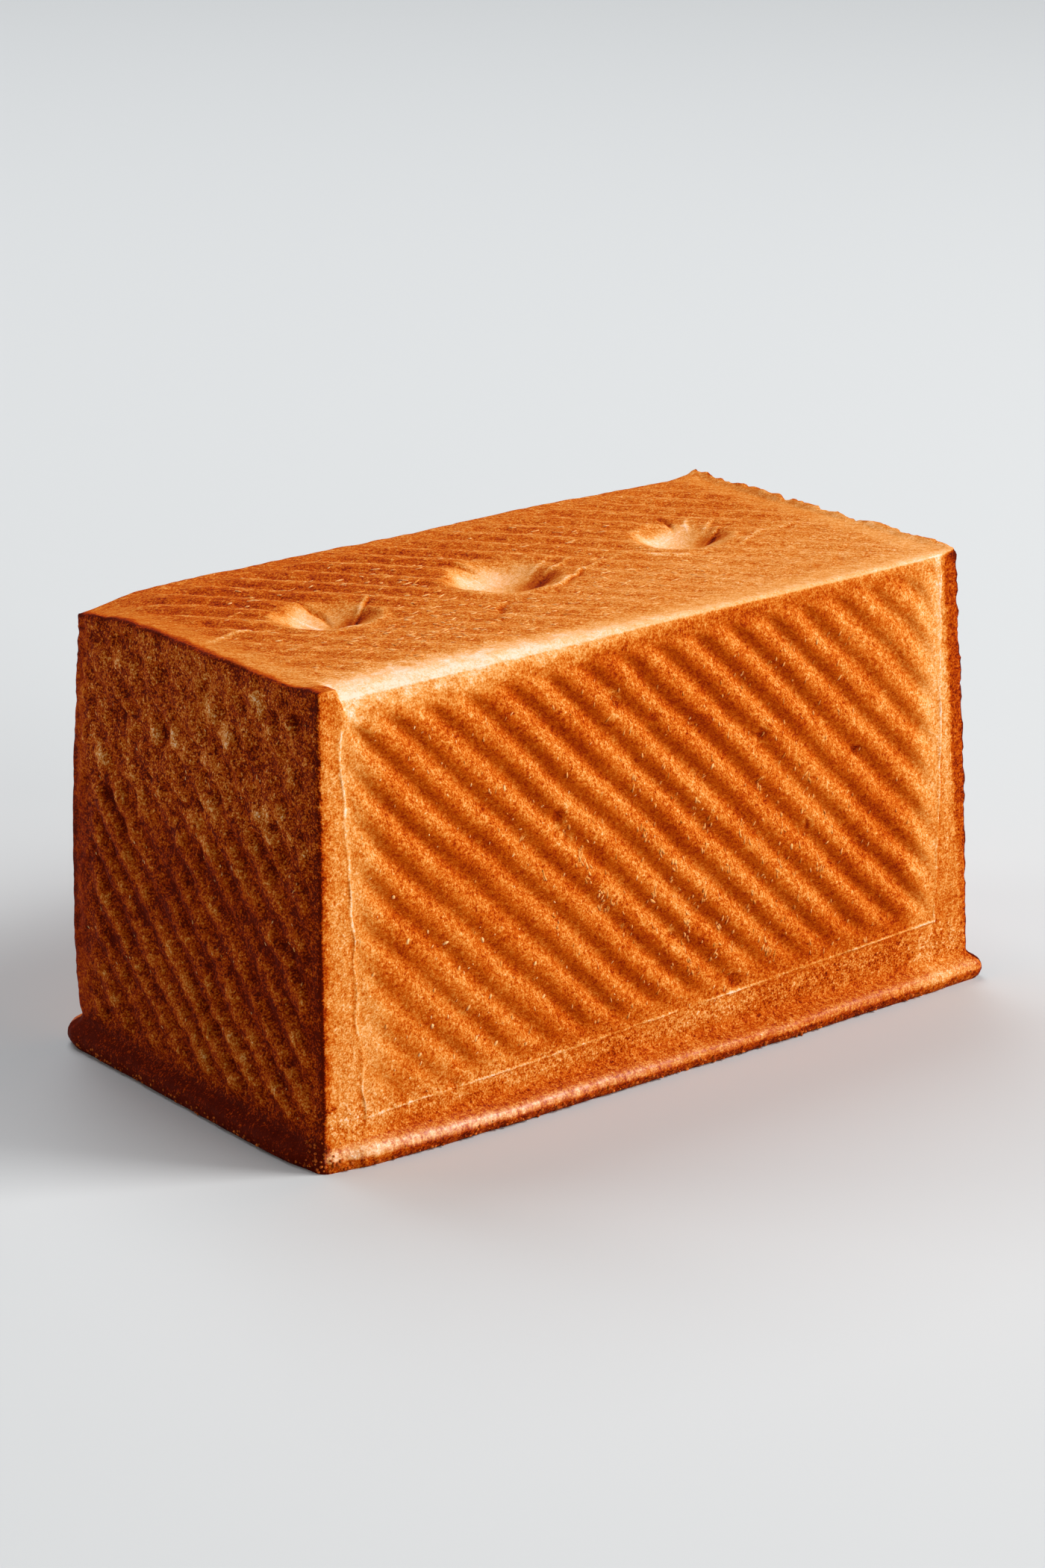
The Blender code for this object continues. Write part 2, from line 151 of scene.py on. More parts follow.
def new_material(name):
    """A material with only its output, and the node tree to fill."""
    material = bpy.data.materials.new(name)
    material.use_nodes = True
    tree = material.node_tree
    for node in list(tree.nodes):
        if node.type != "OUTPUT_MATERIAL":
            tree.nodes.remove(node)
    return material, tree


def colour_ramp(tree, value, stops):
    """Looks a value up in a row of places from 0 to 1 and their colours."""
    ramp = add_node(tree, "ShaderNodeValToRGB", inputs={"Fac": value})
    while len(ramp.color_ramp.elements) < len(stops):
        ramp.color_ramp.elements.new(0.5)
    for element, (position, colour) in zip(ramp.color_ramp.elements, stops):
        element.position = position
        element.color = linear(colour)
    return ramp.outputs["Color"]


def finish_material(tree, shader):
    output = next(node for node in tree.nodes if node.type == "OUTPUT_MATERIAL")
    tree.links.new(shader.outputs[0], output.inputs["Surface"])


# %% Floor, sky and four soft lights
FLOOR_HALF = 8.0
FLOOR_COLOUR = "#CBD1D7"
SKY_COLOUR = "#F1F0EE"
SKY_STRENGTH = 0.12
LIGHT_DISTANCE = 3.0
# Each light: the direction it stands in, its side in metres, its power in watts and its colour
SOFTBOXES = {
    "key_softbox": (Vector((0.58, -0.50, 0.64)), 1.1, 80, "#FFF9F2"),
    "front_softbox": (Vector((0.30, -0.93, 0.20)), 1.6, 58, "#FFF6EC"),
    "back_softbox": (Vector((0.10, 0.55, 0.83)), 2.0, 52, "#FFFDFA"),
    "left_softbox": (Vector((-0.66, 0.70, 0.20)), 1.0, 26, "#FFF6EC"),
}

bm = bmesh.new()
bmesh.ops.create_grid(bm, x_segments=1, y_segments=1, size=FLOOR_HALF)
floor_mesh = mesh_of(bm, "studio_floor")
floor = new_object("studio_floor", floor_mesh)
# Matte paper: one even pale colour with no gloss.
paper, tree = new_material("matte_paper_sheet")
finish_material(tree, add_node(tree, "ShaderNodeBsdfPrincipled", inputs={
    "Base Color": linear(FLOOR_COLOUR), "Roughness": 0.9, "Specular IOR Level": 0.1,
}))
floor_mesh.materials.append(paper)

world = bpy.data.worlds.new("pale_studio")
bpy.context.scene.world = world
world.use_nodes = True
sky = world.node_tree.nodes["Background"]
sky.inputs["Color"].default_value = linear(SKY_COLOUR)
sky.inputs["Strength"].default_value = SKY_STRENGTH

for name, (direction, side, power, colour) in SOFTBOXES.items():
    light_data = bpy.data.lights.new(name, "AREA")
    light_data.shape = "SQUARE"
    light_data.size = side
    light_data.energy = power
    light_data.color = linear(colour)[:3]
    light = new_object(name, light_data)
    light.location = direction.normalized() * LIGHT_DISTANCE
    light.rotation_euler = (-direction).to_track_quat("-Z", "Y").to_euler()
    print(name, "at, mm:", [round(place / MM) for place in light.location])

bpy.context.scene.view_settings.view_transform = "Standard"

# %% [markdown]
# ## The form of the tin
#
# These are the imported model's own sizes, so that the crust fits the solid that it stands for. Only the
# crease is a tenth of a millimetre wider on each side. The tin narrows a little towards its base, which
# is now on top. Each wall of the tin has a field of ribs inside a plain frame, and on the long walls a
# fine fold, the crease, marks where the two meet.

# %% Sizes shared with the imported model
HEIGHT = 110 * MM
MOUTH_LENGTH = 196.4 * MM
MOUTH_WIDTH = 104.3 * MM
MOUTH_Z = 8 * MM
BASE_LENGTH = 188.5 * MM
BASE_WIDTH = 98.2 * MM
RIB_PITCH = 7.9 * MM
RIB_DEPTH = 1.6 * MM
RIB_SQUARENESS = 1.6
RIB_LEAN = 0.3
CREASE_HEIGHT = 0.35 * MM
CREASE_HALF_WIDTH = 0.45 * MM
TOP_FIELD_FRONT = 41 * MM
TOP_FIELD_BACK = 45 * MM
TOP_FIELD_END = 89 * MM
TOP_FIELD_FADE = 8 * MM


def taper(z, base, mouth):
    """Half of a size of the tin at a height, between its base and its mouth."""
    return (base + (mouth - base) * (HEIGHT - z) / (HEIGHT - MOUTH_Z)) / 2


def half_length(z):
    return taper(z, BASE_LENGTH, MOUTH_LENGTH)


def half_width(z):
    return taper(z, BASE_WIDTH, MOUTH_WIDTH)


def smooth(low, high, value):
    """0 below low, 1 above high, and an easy curve between them, for one number or an array."""
    share = np.clip((value - low) / (high - low), 0, 1)
    return share * share * (3 - 2 * share)


def smooth_mm(low, high, value):
    """The same, with low and high in mm."""
    return smooth(low * MM, high * MM, value)


# %% [markdown]
# ## A fine blank
#
# The crust starts as a box with the tin's taper, cut into small squares. A cube is opened at the bottom,
# and each direction is subdivided in turn, which keeps the rows straight. They stand closer together
# near the edges, where the form turns tightly. The underside is closed later and stays plain.

# %% Cut the box into rows
COLUMNS, ROWS, LEVELS = 190, 100, 110
CROWDING = 0.25
# Share of a length of 1 at which an edge or a normal counts as running along a direction
ALONG = 0.9


def cut_along(bm, axis, pieces):
    """Cuts every edge that runs the whole way along one axis."""
    whole = [edge for edge in bm.edges if abs(edge.verts[0].co[axis] - edge.verts[1].co[axis]) > ALONG]
    bmesh.ops.subdivide_edges(bm, edges=whole, cuts=pieces - 1, use_grid_fill=True)


bm = bmesh.new()
bmesh.ops.create_cube(bm, size=1.0)
underside = [face for face in bm.faces if face.normal.z < -ALONG]
bmesh.ops.delete(bm, geom=underside, context="FACES_ONLY")
for axis, pieces in enumerate((COLUMNS, ROWS, LEVELS)):
    cut_along(bm, axis, pieces)


def crowded(share):
    """Moves rows from the middle towards both ends of -1 to 1."""
    return share + CROWDING / math.pi * math.sin(math.pi * share)


for vert in bm.verts:
    x, y, z = (crowded(2 * place) for place in vert.co)
    height = HEIGHT * (z + 1) / 2
    vert.co = (x * half_length(height), y * half_width(height), height)
bm.normal_update()
print("blank:", len(bm.verts), "points,", len(bm.faces), "faces")

# %% [markdown]
# ## Lines that need their own edges
#
# The creases are finer than the squares of the blank. So each gets three lines of its own in the flat
# wall, one along its ridge and one along each foot, and only the middle one is raised later.
# `bisect_plane` draws such a line where a plane crosses the faces it is given.

# %% Where the frame of each wall runs
UP = Vector((0, 0, 1))


class Wall:
    """One side of the tin as seen from outside, with the lines of its frame. The insets are those of
    the left line at foot and top, then of the right line. The heights are those of the foot line at
    left and right, then of the upper line. All are in mm."""

    def __init__(self, out, crest, fade, creased, insets, heights):
        self.out = Vector(out)
        self.right = UP.cross(self.out)
        self.crest, self.fade, self.creased = crest * MM, fade * MM, creased
        half = half_length if self.out.y else half_width
        self.reach = half_width if self.out.y else half_length
        left_foot, left_top, right_foot, right_top = (inset * MM for inset in insets)
        foot_left, foot_right, upper_left, upper_right = (height * MM for height in heights)
        foot, top = half(MOUTH_Z), half(HEIGHT)
        left, right = left_foot - foot, foot - right_foot
        self.lines = [
            self.line(left, MOUTH_Z, left_top - top, HEIGHT),
            self.line(top - right_top, HEIGHT, right, MOUTH_Z),
            self.line(right, foot_right, left, foot_left),
            self.line(left, upper_left, right, upper_right),
        ]

    def line(self, start_across, start_z, end_across, end_z):
        """A point and an inward normal for the line through two points of the wall."""
        start = self.right * start_across + UP * start_z
        along = self.right * (end_across - start_across) + UP * (end_z - start_z)
        return start, along.cross(self.out).normalized()

    def depths(self, points):
        """How far inside each of the four lines the points lie."""
        return np.array([(points - np.array(start)) @ np.array(inward) for start, inward in self.lines])


FRONT = Wall((0, -1, 0), -1.2, 8, True, (11.5, 5, 11.5, 5), (10.6, 17.2, 102, 106.5))
LEFT = Wall((-1, 0, 0), 3.2, 4, False, (9, 9, 2.5, 2.5), (8, 8, 104, 104))
BACK = Wall((0, 1, 0), -1.2, 8, True, (11.5, 5, 11.5, 5), (12, 12, 106.5, 106.5))
RIGHT = Wall((1, 0, 0), 3.2, 4, False, (9, 9, 2.5, 2.5), (8, 8, 104, 104))
WALLS = (FRONT, LEFT, BACK, RIGHT)

# %% Draw the creases
ON_WALL = 0.05 * MM
BESIDE_CREASE = 1.6 * MM
SNAP_WITHIN = 0.08 * MM


def draw_line(bm, faces, point, normal):
    """Cuts the faces where a plane crosses them."""
    edges = {edge for face in faces for edge in face.edges}
    verts = {vert for face in faces for vert in face.verts}
    geometry = list(verts) + list(edges) + list(faces)
    bmesh.ops.bisect_plane(bm, geom=geometry, dist=SNAP_WITHIN, plane_co=point, plane_no=normal)


for wall in (FRONT, BACK):
    for start, inward in wall.lines[:3]:
        for offset in (-CREASE_HALF_WIDTH, 0, CREASE_HALF_WIDTH):
            line_start = start + inward * offset
            beside = [
                face for face in bm.faces
                if face.normal.dot(wall.out) > ALONG
                and abs((face.calc_center_median() - line_start).dot(inward)) < BESIDE_CREASE
                and min(wall.depths(np.array(face.calc_center_median()))) > -BESIDE_CREASE
            ]
            draw_line(bm, beside, line_start, inward)
print("with creases:", len(bm.verts), "points,", len(bm.faces), "faces")

# %% [markdown]
# The top has three hollows, whose stretched skin is full of fine folds. The squares there are quartered.

# %% Quarter the squares of the hollows
# Each hollow: its middle, its radius and its depth
HOLLOWS = (
    (-56 * MM, 3 * MM, 13 * MM, 4.0 * MM),
    (-4 * MM, 3 * MM, 15 * MM, 4.6 * MM),
    (51 * MM, 4 * MM, 12.5 * MM, 3.4 * MM),
)
HOLLOW_LIP = 1.35


def in_hollow(place):
    return any(math.hypot(place.x - x, place.y - y) < HOLLOW_LIP * radius for x, y, radius, _ in HOLLOWS)


hollow_faces = [
    face for face in bm.faces if face.normal.z > ALONG and in_hollow(face.calc_center_median())
]
hollow_edges = {edge for face in hollow_faces for edge in face.edges}
bmesh.ops.subdivide_edges(bm, edges=list(hollow_edges), cuts=1, use_grid_fill=True)
print("with hollows:", len(bm.verts), "points,", len(bm.faces), "faces")

# %% [markdown]
# ## Read the blank into arrays
#
# So many points are moved that each step works on all of them at once with numpy. Only a noise value
# has to be asked for point by point. Every step adds to how far each point moves, and paints values on
# the points that the crust's material reads later: `tone` is how much paler or darker than the rest a
# point is painted, for its baking and in places as painted light and shade, `grain` how coarse its skin
# is, `gloss` how greasy, and `streaky` how much it tore along the ribs of the top.

# %% Points of the blank, and the side that each is on
points = np.array([vert.co for vert in bm.verts])
x, y, z = points.T
moves = np.zeros_like(points)
on_top = z > HEIGHT - ON_WALL


def on_side(wall):
    return wall.reach(z) - points @ np.array(wall.out) < ON_WALL


on_front, on_left, on_right = on_side(FRONT), on_side(LEFT), on_side(RIGHT)
on_ends = on_left | on_right


def push(chosen, distance, direction):
    """Moves the chosen points by their distances in one direction."""
    moves[chosen] += np.outer(distance, np.array(direction))


def noise_at(size, seed=0, places=points):
    """Soft noise from about -1 to 1 whose lumps are about as wide as the size."""
    shift = Vector((17.3, 9.1, 5.7)) * seed
    return np.array([noise.noise(Vector(place) / size + shift) for place in places])


def swell(share, centre, width):
    """A soft bump of height 1 round a value."""
    return np.exp(-(((share - centre) / width) ** 2))


tone = np.zeros(len(points))
grain = np.ones(len(points))
gloss = np.zeros(len(points))
streaky = 1.0 * on_top
print("points on the top:", int(on_top.sum()))

# %% [markdown]
# ## Ribs
#
# A rib is a wave across a wall, with crests that are wider than its grooves, so the light draws a sharp
# shadow in each groove and fades slowly up the flank behind it. The lit flank is also painted paler and
# the other flank darker, as painted light on top of that shading. Dough never fills a tin evenly: the
# lines wander, most on the short sides, and the ribs are weak near the corners. On the top they are
# wider and flatter, and fade to the right and the front, and their lit flank is painted paler as well.
# The short sides are painted darker, partly a deeper bake and partly painted shade of sides that face
# away from the light. Their crests broke into beads, and crests and beads are painted paler than the
# grooves, partly their own colour and partly painted light.

# %% Ribs of the four walls
WANDER_SIZE = 16 * MM
FRAY_SIZE = 3.5 * MM
UNEVEN_SIZE = 28 * MM
WALL_WANDER, WALL_FRAY = 0.5 * MM, 0.4 * MM
END_WANDER, END_FRAY = 1.3 * MM, 1.0 * MM
LONG_STRENGTH, LOW_LEFT_LOSS, HIGH_RIGHT_LOSS = 0.82, 0.5, 0.22
END_UPPER_LOSS = 0.65
# The lit flank of each rib lies this far past its crest and is painted this much paler: painted light.
LIT_FLANK_SHIFT = 1.8 * MM
LIT_FLANK_PAINTED_LIGHT = 0.10
FLANK_GRAIN = 0.3
MEAN_RIDGE = 0.375
END_SHIFT = 1.2 * MM
# On the short sides the crests are painted paler than the grooves, partly their own colour and partly
# painted light. The whole side is painted darker, partly a deeper bake and partly painted shade.
END_RIDGE_TONE_AND_LIGHT = 0.26
END_SHADE_AND_BAKE_TONE = -0.20
END_DARK_TONE = -0.11
UPPER_FADE_START = 1.5 * MM
UPPER_FADE_SHARE = 2.4
BEAD_SIZE = 3.2 * MM
BEAD_HEIGHT = 0.35 * MM
# Beads are painted paler, partly their own colour and partly painted highlight.
BEAD_TONE_AND_HIGHLIGHT = 0.18


def ripple(across, pitch=RIB_PITCH):
    return np.cos(2 * np.pi * across / pitch)


def rib_wave(across, pitch=RIB_PITCH):
    """Near 1 on a crest and near -1 in a groove, with a flatter form than a ripple."""
    wave = ripple(across, pitch) + RIB_LEAN
    return np.tanh(RIB_SQUARENESS * wave) / math.tanh(RIB_SQUARENESS)


wander = noise_at(WANDER_SIZE, 1)
fray = noise_at(FRAY_SIZE, 20)
uneven = np.clip(1 + 0.5 * noise_at(UNEVEN_SIZE, 21), 0.5, 1.3)
beads = np.clip(1.8 * noise_at(BEAD_SIZE, 28), 0, 1)
for wall in WALLS:
    chosen = on_side(wall)
    spots = points[chosen]
    depths = wall.depths(spots)
    depths[3] = UPPER_FADE_SHARE * (depths[3] + UPPER_FADE_START)
    inside = depths.min(axis=0)
    along = spots @ np.array(wall.right)
    height = spots[:, 2]
    across = (along + height) / math.sqrt(2) - wall.crest
    if wall.creased:
        across += wander[chosen] * WALL_WANDER + fray[chosen] * WALL_FRAY
        low_left = (1 - smooth_mm(-82, -35, along)) * (1 - smooth_mm(20, 65, height))
        high_right = smooth_mm(50, 88, along) * smooth_mm(30, 80, height)
        strength = LONG_STRENGTH - LOW_LEFT_LOSS * low_left - HIGH_RIGHT_LOSS * high_right
    else:
        across += wander[chosen] * END_WANDER + fray[chosen] * END_FRAY
        strength = 1 - END_UPPER_LOSS * smooth_mm(60, 85, height)
    strength = strength * uneven[chosen] * smooth(0, wall.fade, inside)
    push(chosen, rib_wave(across) * strength * RIB_DEPTH / 2, wall.out)
    if wall.creased:
        # Painted light: the flank that faces the light is painted paler and the other one darker.
        lit_flank = ripple(across - LIT_FLANK_SHIFT)
        tone[chosen] += LIT_FLANK_PAINTED_LIGHT * lit_flank * strength
        grain[chosen] *= 0.85 + FLANK_GRAIN * lit_flank * strength
    else:
        ridge = (0.5 + 0.5 * ripple(across - END_SHIFT)) ** 2
        bead = ridge * beads[chosen] * smooth(0, wall.fade, inside)
        push(chosen, BEAD_HEIGHT * bead, wall.out)
        # Paler crests and beads are partly painted light, and the darker whole side is partly painted
        # shade.
        tone[chosen] += END_RIDGE_TONE_AND_LIGHT * (ridge - MEAN_RIDGE) * strength + BEAD_TONE_AND_HIGHLIGHT * bead + END_SHADE_AND_BAKE_TONE
        tone[chosen] += END_DARK_TONE * swell(height, 45 * MM, 32 * MM)
print("rib relief, mm:", round(float(np.ptp(moves) / 2 / MM), 2))

# %% Ribs of the top
TOP_RIB_ANGLE = math.radians(39)
TOP_RIB_PITCH = 8.5 * MM
TOP_RIB_CREST = -0.75 * MM
TOP_RIB_SHARE = 0.8
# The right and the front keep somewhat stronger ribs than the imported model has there.
RIGHT_RIBS = 0.62
FRONT_RIBS = 0.4
TOP_WANDER, TOP_FRAY = 0.8 * MM, 0.6 * MM
TOP_FLANK_PAINTED_LIGHT = 0.11
TOP_PAINTED_HIGHLIGHT_LINE = 0.12

hollow_share = np.min([np.hypot(x - cx, y - cy) / radius for cx, cy, radius, _ in HOLLOWS], axis=0)
top_inside = np.min(
    [x + TOP_FIELD_END, TOP_FIELD_END - x, y + TOP_FIELD_FRONT, TOP_FIELD_BACK - y], axis=0
)
across = x * math.cos(TOP_RIB_ANGLE) + y * math.sin(TOP_RIB_ANGLE) - TOP_RIB_CREST
across += wander * TOP_WANDER + fray * TOP_FRAY
strength = TOP_RIB_SHARE * (1 - (1 - RIGHT_RIBS) * smooth_mm(-30, 30, x))
strength *= 1 - (1 - FRONT_RIBS) * smooth_mm(-18, 15, -y)
strength *= smooth(0, TOP_FIELD_FADE, top_inside) * smooth(0.7, 1.3, hollow_share) * on_top
moves[:, 2] += rib_wave(across, TOP_RIB_PITCH) * strength * RIB_DEPTH / 2
# Painted light on the top's ribs: the lit flank is paler, the other darker, with a thin painted
# highlight line along the lit flank.
lit = 0.5 + 0.5 * ripple(across - LIT_FLANK_SHIFT, TOP_RIB_PITCH)
tone += (TOP_FLANK_PAINTED_LIGHT * (2 * lit - 1) + TOP_PAINTED_HIGHLIGHT_LINE * lit ** 6) * strength
print("top ribs reach, mm:", round(float(strength.max() * RIB_DEPTH / 2 / MM), 2))

# %% [markdown]
# ## Frame of the ribs
#
# The long sides have a plain frame round their ribs. Its inner edge is a fine fold of skin, a third of
# a millimetre high, that breaks off here and there. The frame and the ends of the ribs beside it
# touched the tin less and stayed golden. The upright corners touched it most, so a narrow dark strip
# runs down each of them.

# %% Creases and the golden frame
CREASE_BREAKS = 9 * MM
CREASE_TONE = 0.42
MARGIN_TONE = 0.17
RIB_END_TONE = 0.18
CORNER_TONE = -0.32
WIDE_LINE_TONE = 0.14
UPPER_CREASE_SHARE = 0.4
SPOT_SIZE = 2.4 * MM
WOBBLE_SIZE = 8 * MM
WOBBLE = 1.1 * MM

breaks = 0.65 + 0.7 * noise_at(CREASE_BREAKS, 2)
spots_noise = noise_at(SPOT_SIZE, 22)
for wall in WALLS:
    chosen = on_side(wall)
    spots = points[chosen]
    depths = wall.depths(spots)
    to_side = depths[:2].min(axis=0)
    across = spots @ np.array(wall.right)
    if wall.creased:
        nearest = np.abs(depths[:3]).min(axis=0)
        ridge = np.clip(1 - nearest / CREASE_HALF_WIDTH, 0, 1) * (depths.min(axis=0) > -0.3 * MM)
        ridge = ridge * np.clip(breaks[chosen], 0, 1)
        push(chosen, ridge * CREASE_HEIGHT, wall.out)
        upper_crease = swell(np.abs(depths[0]), 0, 0.9 * MM) * smooth_mm(45, 80, spots[:, 2])
        tone[chosen] += CREASE_TONE * (ridge + UPPER_CREASE_SHARE * upper_crease)
        margin_share = 1 - 0.4 * smooth_mm(0, 80, across)
        tone[chosen] += MARGIN_TONE * smooth_mm(-0.5, 2, -to_side) * margin_share
        tone[chosen] += RIB_END_TONE * (1 - smooth_mm(2, 13, to_side)) * (to_side > 0)
        grain[chosen] *= 1 + 0.15 * smooth_mm(0, 3, -depths.min(axis=0))
    to_corner = (half_length(z[chosen]) if wall.creased else half_width(z[chosen])) - np.abs(across)
    corner_wave = SPOT_SIZE * spots_noise[chosen]
    if wall.creased:
        at_right = across > 0
        upper_half = smooth_mm(25, 60, z[chosen])
        narrow = 1 - smooth_mm(0.4, 2.8, to_corner + corner_wave)
        narrow *= 1 - 0.7 * smooth_mm(70, 95, z[chosen])
        wide = 1 - smooth_mm(3.6, 5.0, to_corner + 0.4 * corner_wave + 2 * MM * (1 - upper_half))
        tone[chosen] += CORNER_TONE * np.where(at_right, wide * (0.5 + 0.5 * upper_half), narrow)
        tone[chosen] += WIDE_LINE_TONE * at_right * swell(to_corner, 6.2 * MM, 1.0 * MM) * upper_half
        wobble = WOBBLE * noise_at(WOBBLE_SIZE, 32, spots) * swell(to_side, 0, 3 * MM)
        push(chosen, wobble * np.where(at_right, 0.4, 1), wall.right)
    else:
        tone[chosen] += 0.4 * CORNER_TONE * (1 - smooth_mm(0.8, 3.6, to_corner + corner_wave))
print("palest paint so far:", round(float(tone.max()), 2), "darkest:", round(float(tone.min()), 2))

# %% Uneven browning of the front, and a top painted paler to the right and the front
# Each patch of the front: how far along and how high its middle lies, its reach along and up in mm,
# and how much paler it is, or darker where the number is below zero
FRONT_PATCHES = (
    (-72, 26, 20, 18, 0.07), (82, 88, 22, 22, 0.08), (88, 55, 8, 25, 0.05), (-5, 92, 45, 10, -0.04),
    (68, 50, 10, 22, -0.05), (70, 20, 22, 8, -0.05), (-10, 11, 80, 3.5, 0.06), (-62, 12, 25, 6, 0.04),
)
TOP_PAINTED_LIGHT_TO_RIGHT, TO_FRONT_TONE, TOP_MARGIN_TONE = 0.08, 0.12, 0.08
TOP_MARGIN_END, TOP_MARGIN_FRONT = 86 * MM, 41 * MM
LEFT_LINE_TONE = -0.22
SLACK_TONE = 0.05

for middle_x, middle_z, reach_x, reach_z, amount in FRONT_PATCHES:
    away = np.hypot((x / MM - middle_x) / reach_x, (z / MM - middle_z) / reach_z)
    tone += amount * swell(away, 0, 1) * on_front

# Painted light: the top is paler towards the light on the right. It is also paler towards the front.
painted_light_to_right, to_front = smooth_mm(-70, 60, x), smooth_mm(-30, 35, -y)
edge_wave = 1.5 * MM * noise_at(5 * MM, 23)
from_margin = np.min([x + TOP_MARGIN_END, TOP_MARGIN_END - x, y + TOP_MARGIN_FRONT], axis=0)
top_margin = 1 - smooth_mm(-3, 3, from_margin + edge_wave)
tone += on_top * (TOP_PAINTED_LIGHT_TO_RIGHT * painted_light_to_right + TO_FRONT_TONE * to_front + TOP_MARGIN_TONE * top_margin)
grain *= np.where(on_top, 0.88 - 0.3 * top_margin, 1)
grain *= 1 + 0.35 * swell(z, 11.5 * MM, 4 * MM) * on_front
left_line = on_top * (1 - smooth_mm(0.8, 2.6, x + half_length(z) + edge_wave))
tone += LEFT_LINE_TONE * left_line
grain[on_ends] *= 1.2 + 0.35 * smooth_mm(60, 80, z[on_ends])
slack_strip = on_left * smooth_mm(42, 47, y + edge_wave)
tone += SLACK_TONE * slack_strip
grain *= 1 - 0.4 * slack_strip
top_paint = tone[on_top]
print("paint of the top:", round(float(top_paint.min()), 2), "to", round(float(top_paint.max()), 2))

# %% [markdown]
# ## Hollows and folds
#
# Probably three rolls of dough lay side by side in the tin, and the ends of their spirals drew in as
# the dough rose. Each left a hollow with a soft lip, a pale, stretched floor and a darker pit a little
# to the right of its middle. The floor is painted paler still on its left, which faces the light, and
# on its far wall, as painted light. The pit's darker paint is partly its own redder colour and partly
# painted shade. Folds of skin run out of it: some stand up, some are narrow creases.

# %% Hollow floors and pits
LIP_HEIGHT = 0.4 * MM
LIP_WIDTH = 0.09
LIP_TONE = 0.15
FLOOR_TONE = 0.48
PIT_TONE_AND_SHADE = -0.44
# Each pit: where its middle lies, and its reach, in mm
PITS = ((-49.5, 1.0, 3.4), (4.5, 0.0, 5.0), (58.5, 1.5, 3.4))
PIT_DEPTH = 0.9 * MM

floor_wave = noise_at(6 * MM, 4)
lip_wave = np.clip(0.5 + noise_at(7 * MM, 3), 0, 1)
hollow_wave = noise_at(10 * MM, 29)
for cx, cy, radius, deepest in HOLLOWS:
    share = np.hypot(x - cx, y - cy) / radius * (1 + 0.1 * hollow_wave)
    moves[:, 2] -= on_top * deepest * np.clip(1 - share * share, 0, 1) ** 1.5
    lip = swell(share, 1.05, LIP_WIDTH) * lip_wave * smooth(0, 1, (cy - y) / radius + 0.4) * on_top
    moves[:, 2] += lip * LIP_HEIGHT
    floor_share = on_top * (1 - smooth(0.4, 1.15, share + 0.3 * floor_wave))
    # Painted light: the floor's left, which faces the light, and its far wall are painted paler.
    lit_left_share = smooth(-0.7, 0.5, (cx - x) / radius)
    far_wall_light_share = smooth(-0.1, 0.6, (y - cy) / radius)
    tone += FLOOR_TONE * floor_share * (0.3 + 0.3 * lit_left_share + 0.45 * far_wall_light_share) + LIP_TONE * lip
    grain *= 1 - 0.45 * floor_share
    streaky *= 1 - 0.85 * floor_share
for pit_x, pit_y, reach in PITS:
    pit = swell(np.hypot(x / MM - pit_x, (y / MM - pit_y) * 1.4) / reach, 0, 1) * on_top
    moves[:, 2] -= PIT_DEPTH * pit
    # The pit's darker paint is partly its own redder colour and partly painted shade.
    tone += PIT_TONE_AND_SHADE * pit

# %% Folds of skin
# Each fold: its points on the top in mm, its height in mm (below zero for a crease), its half width in
# mm, and the depth in mm of the crease along its right side
FOLDS = (
    (((-54.6, 16), (-53.4, 12), (-52.4, 8.3), (-53.2, 4.5)), -0.7, 0.6, 0.0),
    (((-52.6, -2.5), (-50.6, -0.3), (-46, 3.4), (-40.9, 7.3), (-38.5, 10)), 0.4, 0.55, 0.4),
    (((-58.5, 9), (-57, 5.5), (-54.5, 2.0)), 0.2, 0.5, 0.1),
    (((-63, -6), (-59, -8.5), (-53.5, -9.5), (-48, -8.5)), 0.3, 0.6, 0.1),
    (((-7.8, 20.5), (-7.2, 18.5), (-6, 16.2), (-4.2, 13.2)), -1.0, 0.7, 0.0),
    (((1.5, 1.0), (6.4, 1.6), (10.5, 2.2), (14.8, 3.6), (19.5, 6)), 0.35, 0.5, 0.2),
    (((4.5, 4.5), (9.5, 6.5), (15.5, 10.0)), 0.2, 0.5, 0.1),
    (((-1.4, -13.2), (2.5, -10.8), (6.2, -8.7), (13.7, -4.6), (22.4, -1.6), (28.3, 0.4)),
     0.4, 0.55, 0.3),
    (((28.3, 0.4), (31.1, 0.1), (32.7, -1.5), (36.4, -5.4), (40.5, -8.9), (46, -10.8)),
     0.35, 0.55, 0.2),
    (((56.8, 19.5), (57, 16.2), (56.0, 12.0)), -0.8, 0.6, 0.0),
    (((56.5, 1.0), (58.5, 2.2), (61.6, 3.4), (65, 5.0)), 0.4, 0.6, 0.4),
    (((60.5, 5.5), (64, 8.5), (68, 11.0)), 0.25, 0.5, 0.2),
    (((57.5, 8.5), (60, 12.5), (63.5, 16.0)), 0.2, 0.5, 0.1),
    (((56, -11.6), (59, -10.4), (63, -8.3), (68.9, -5.2), (74, -5.4), (81, -5)), 0.4, 0.6, 0.3),
    (((-91, 1.4), (-84, 2.4), (-77, 2.2), (-70, 0.2)), 0.3, 0.6, 0.2),
    (((-26, -24), (-22.5, -21.5), (-19.5, -18), (-15, -15.5)), -0.7, 0.6, 0.0),
)
FOLD_TONE = 0.26
FOLD_SHADE = -0.24


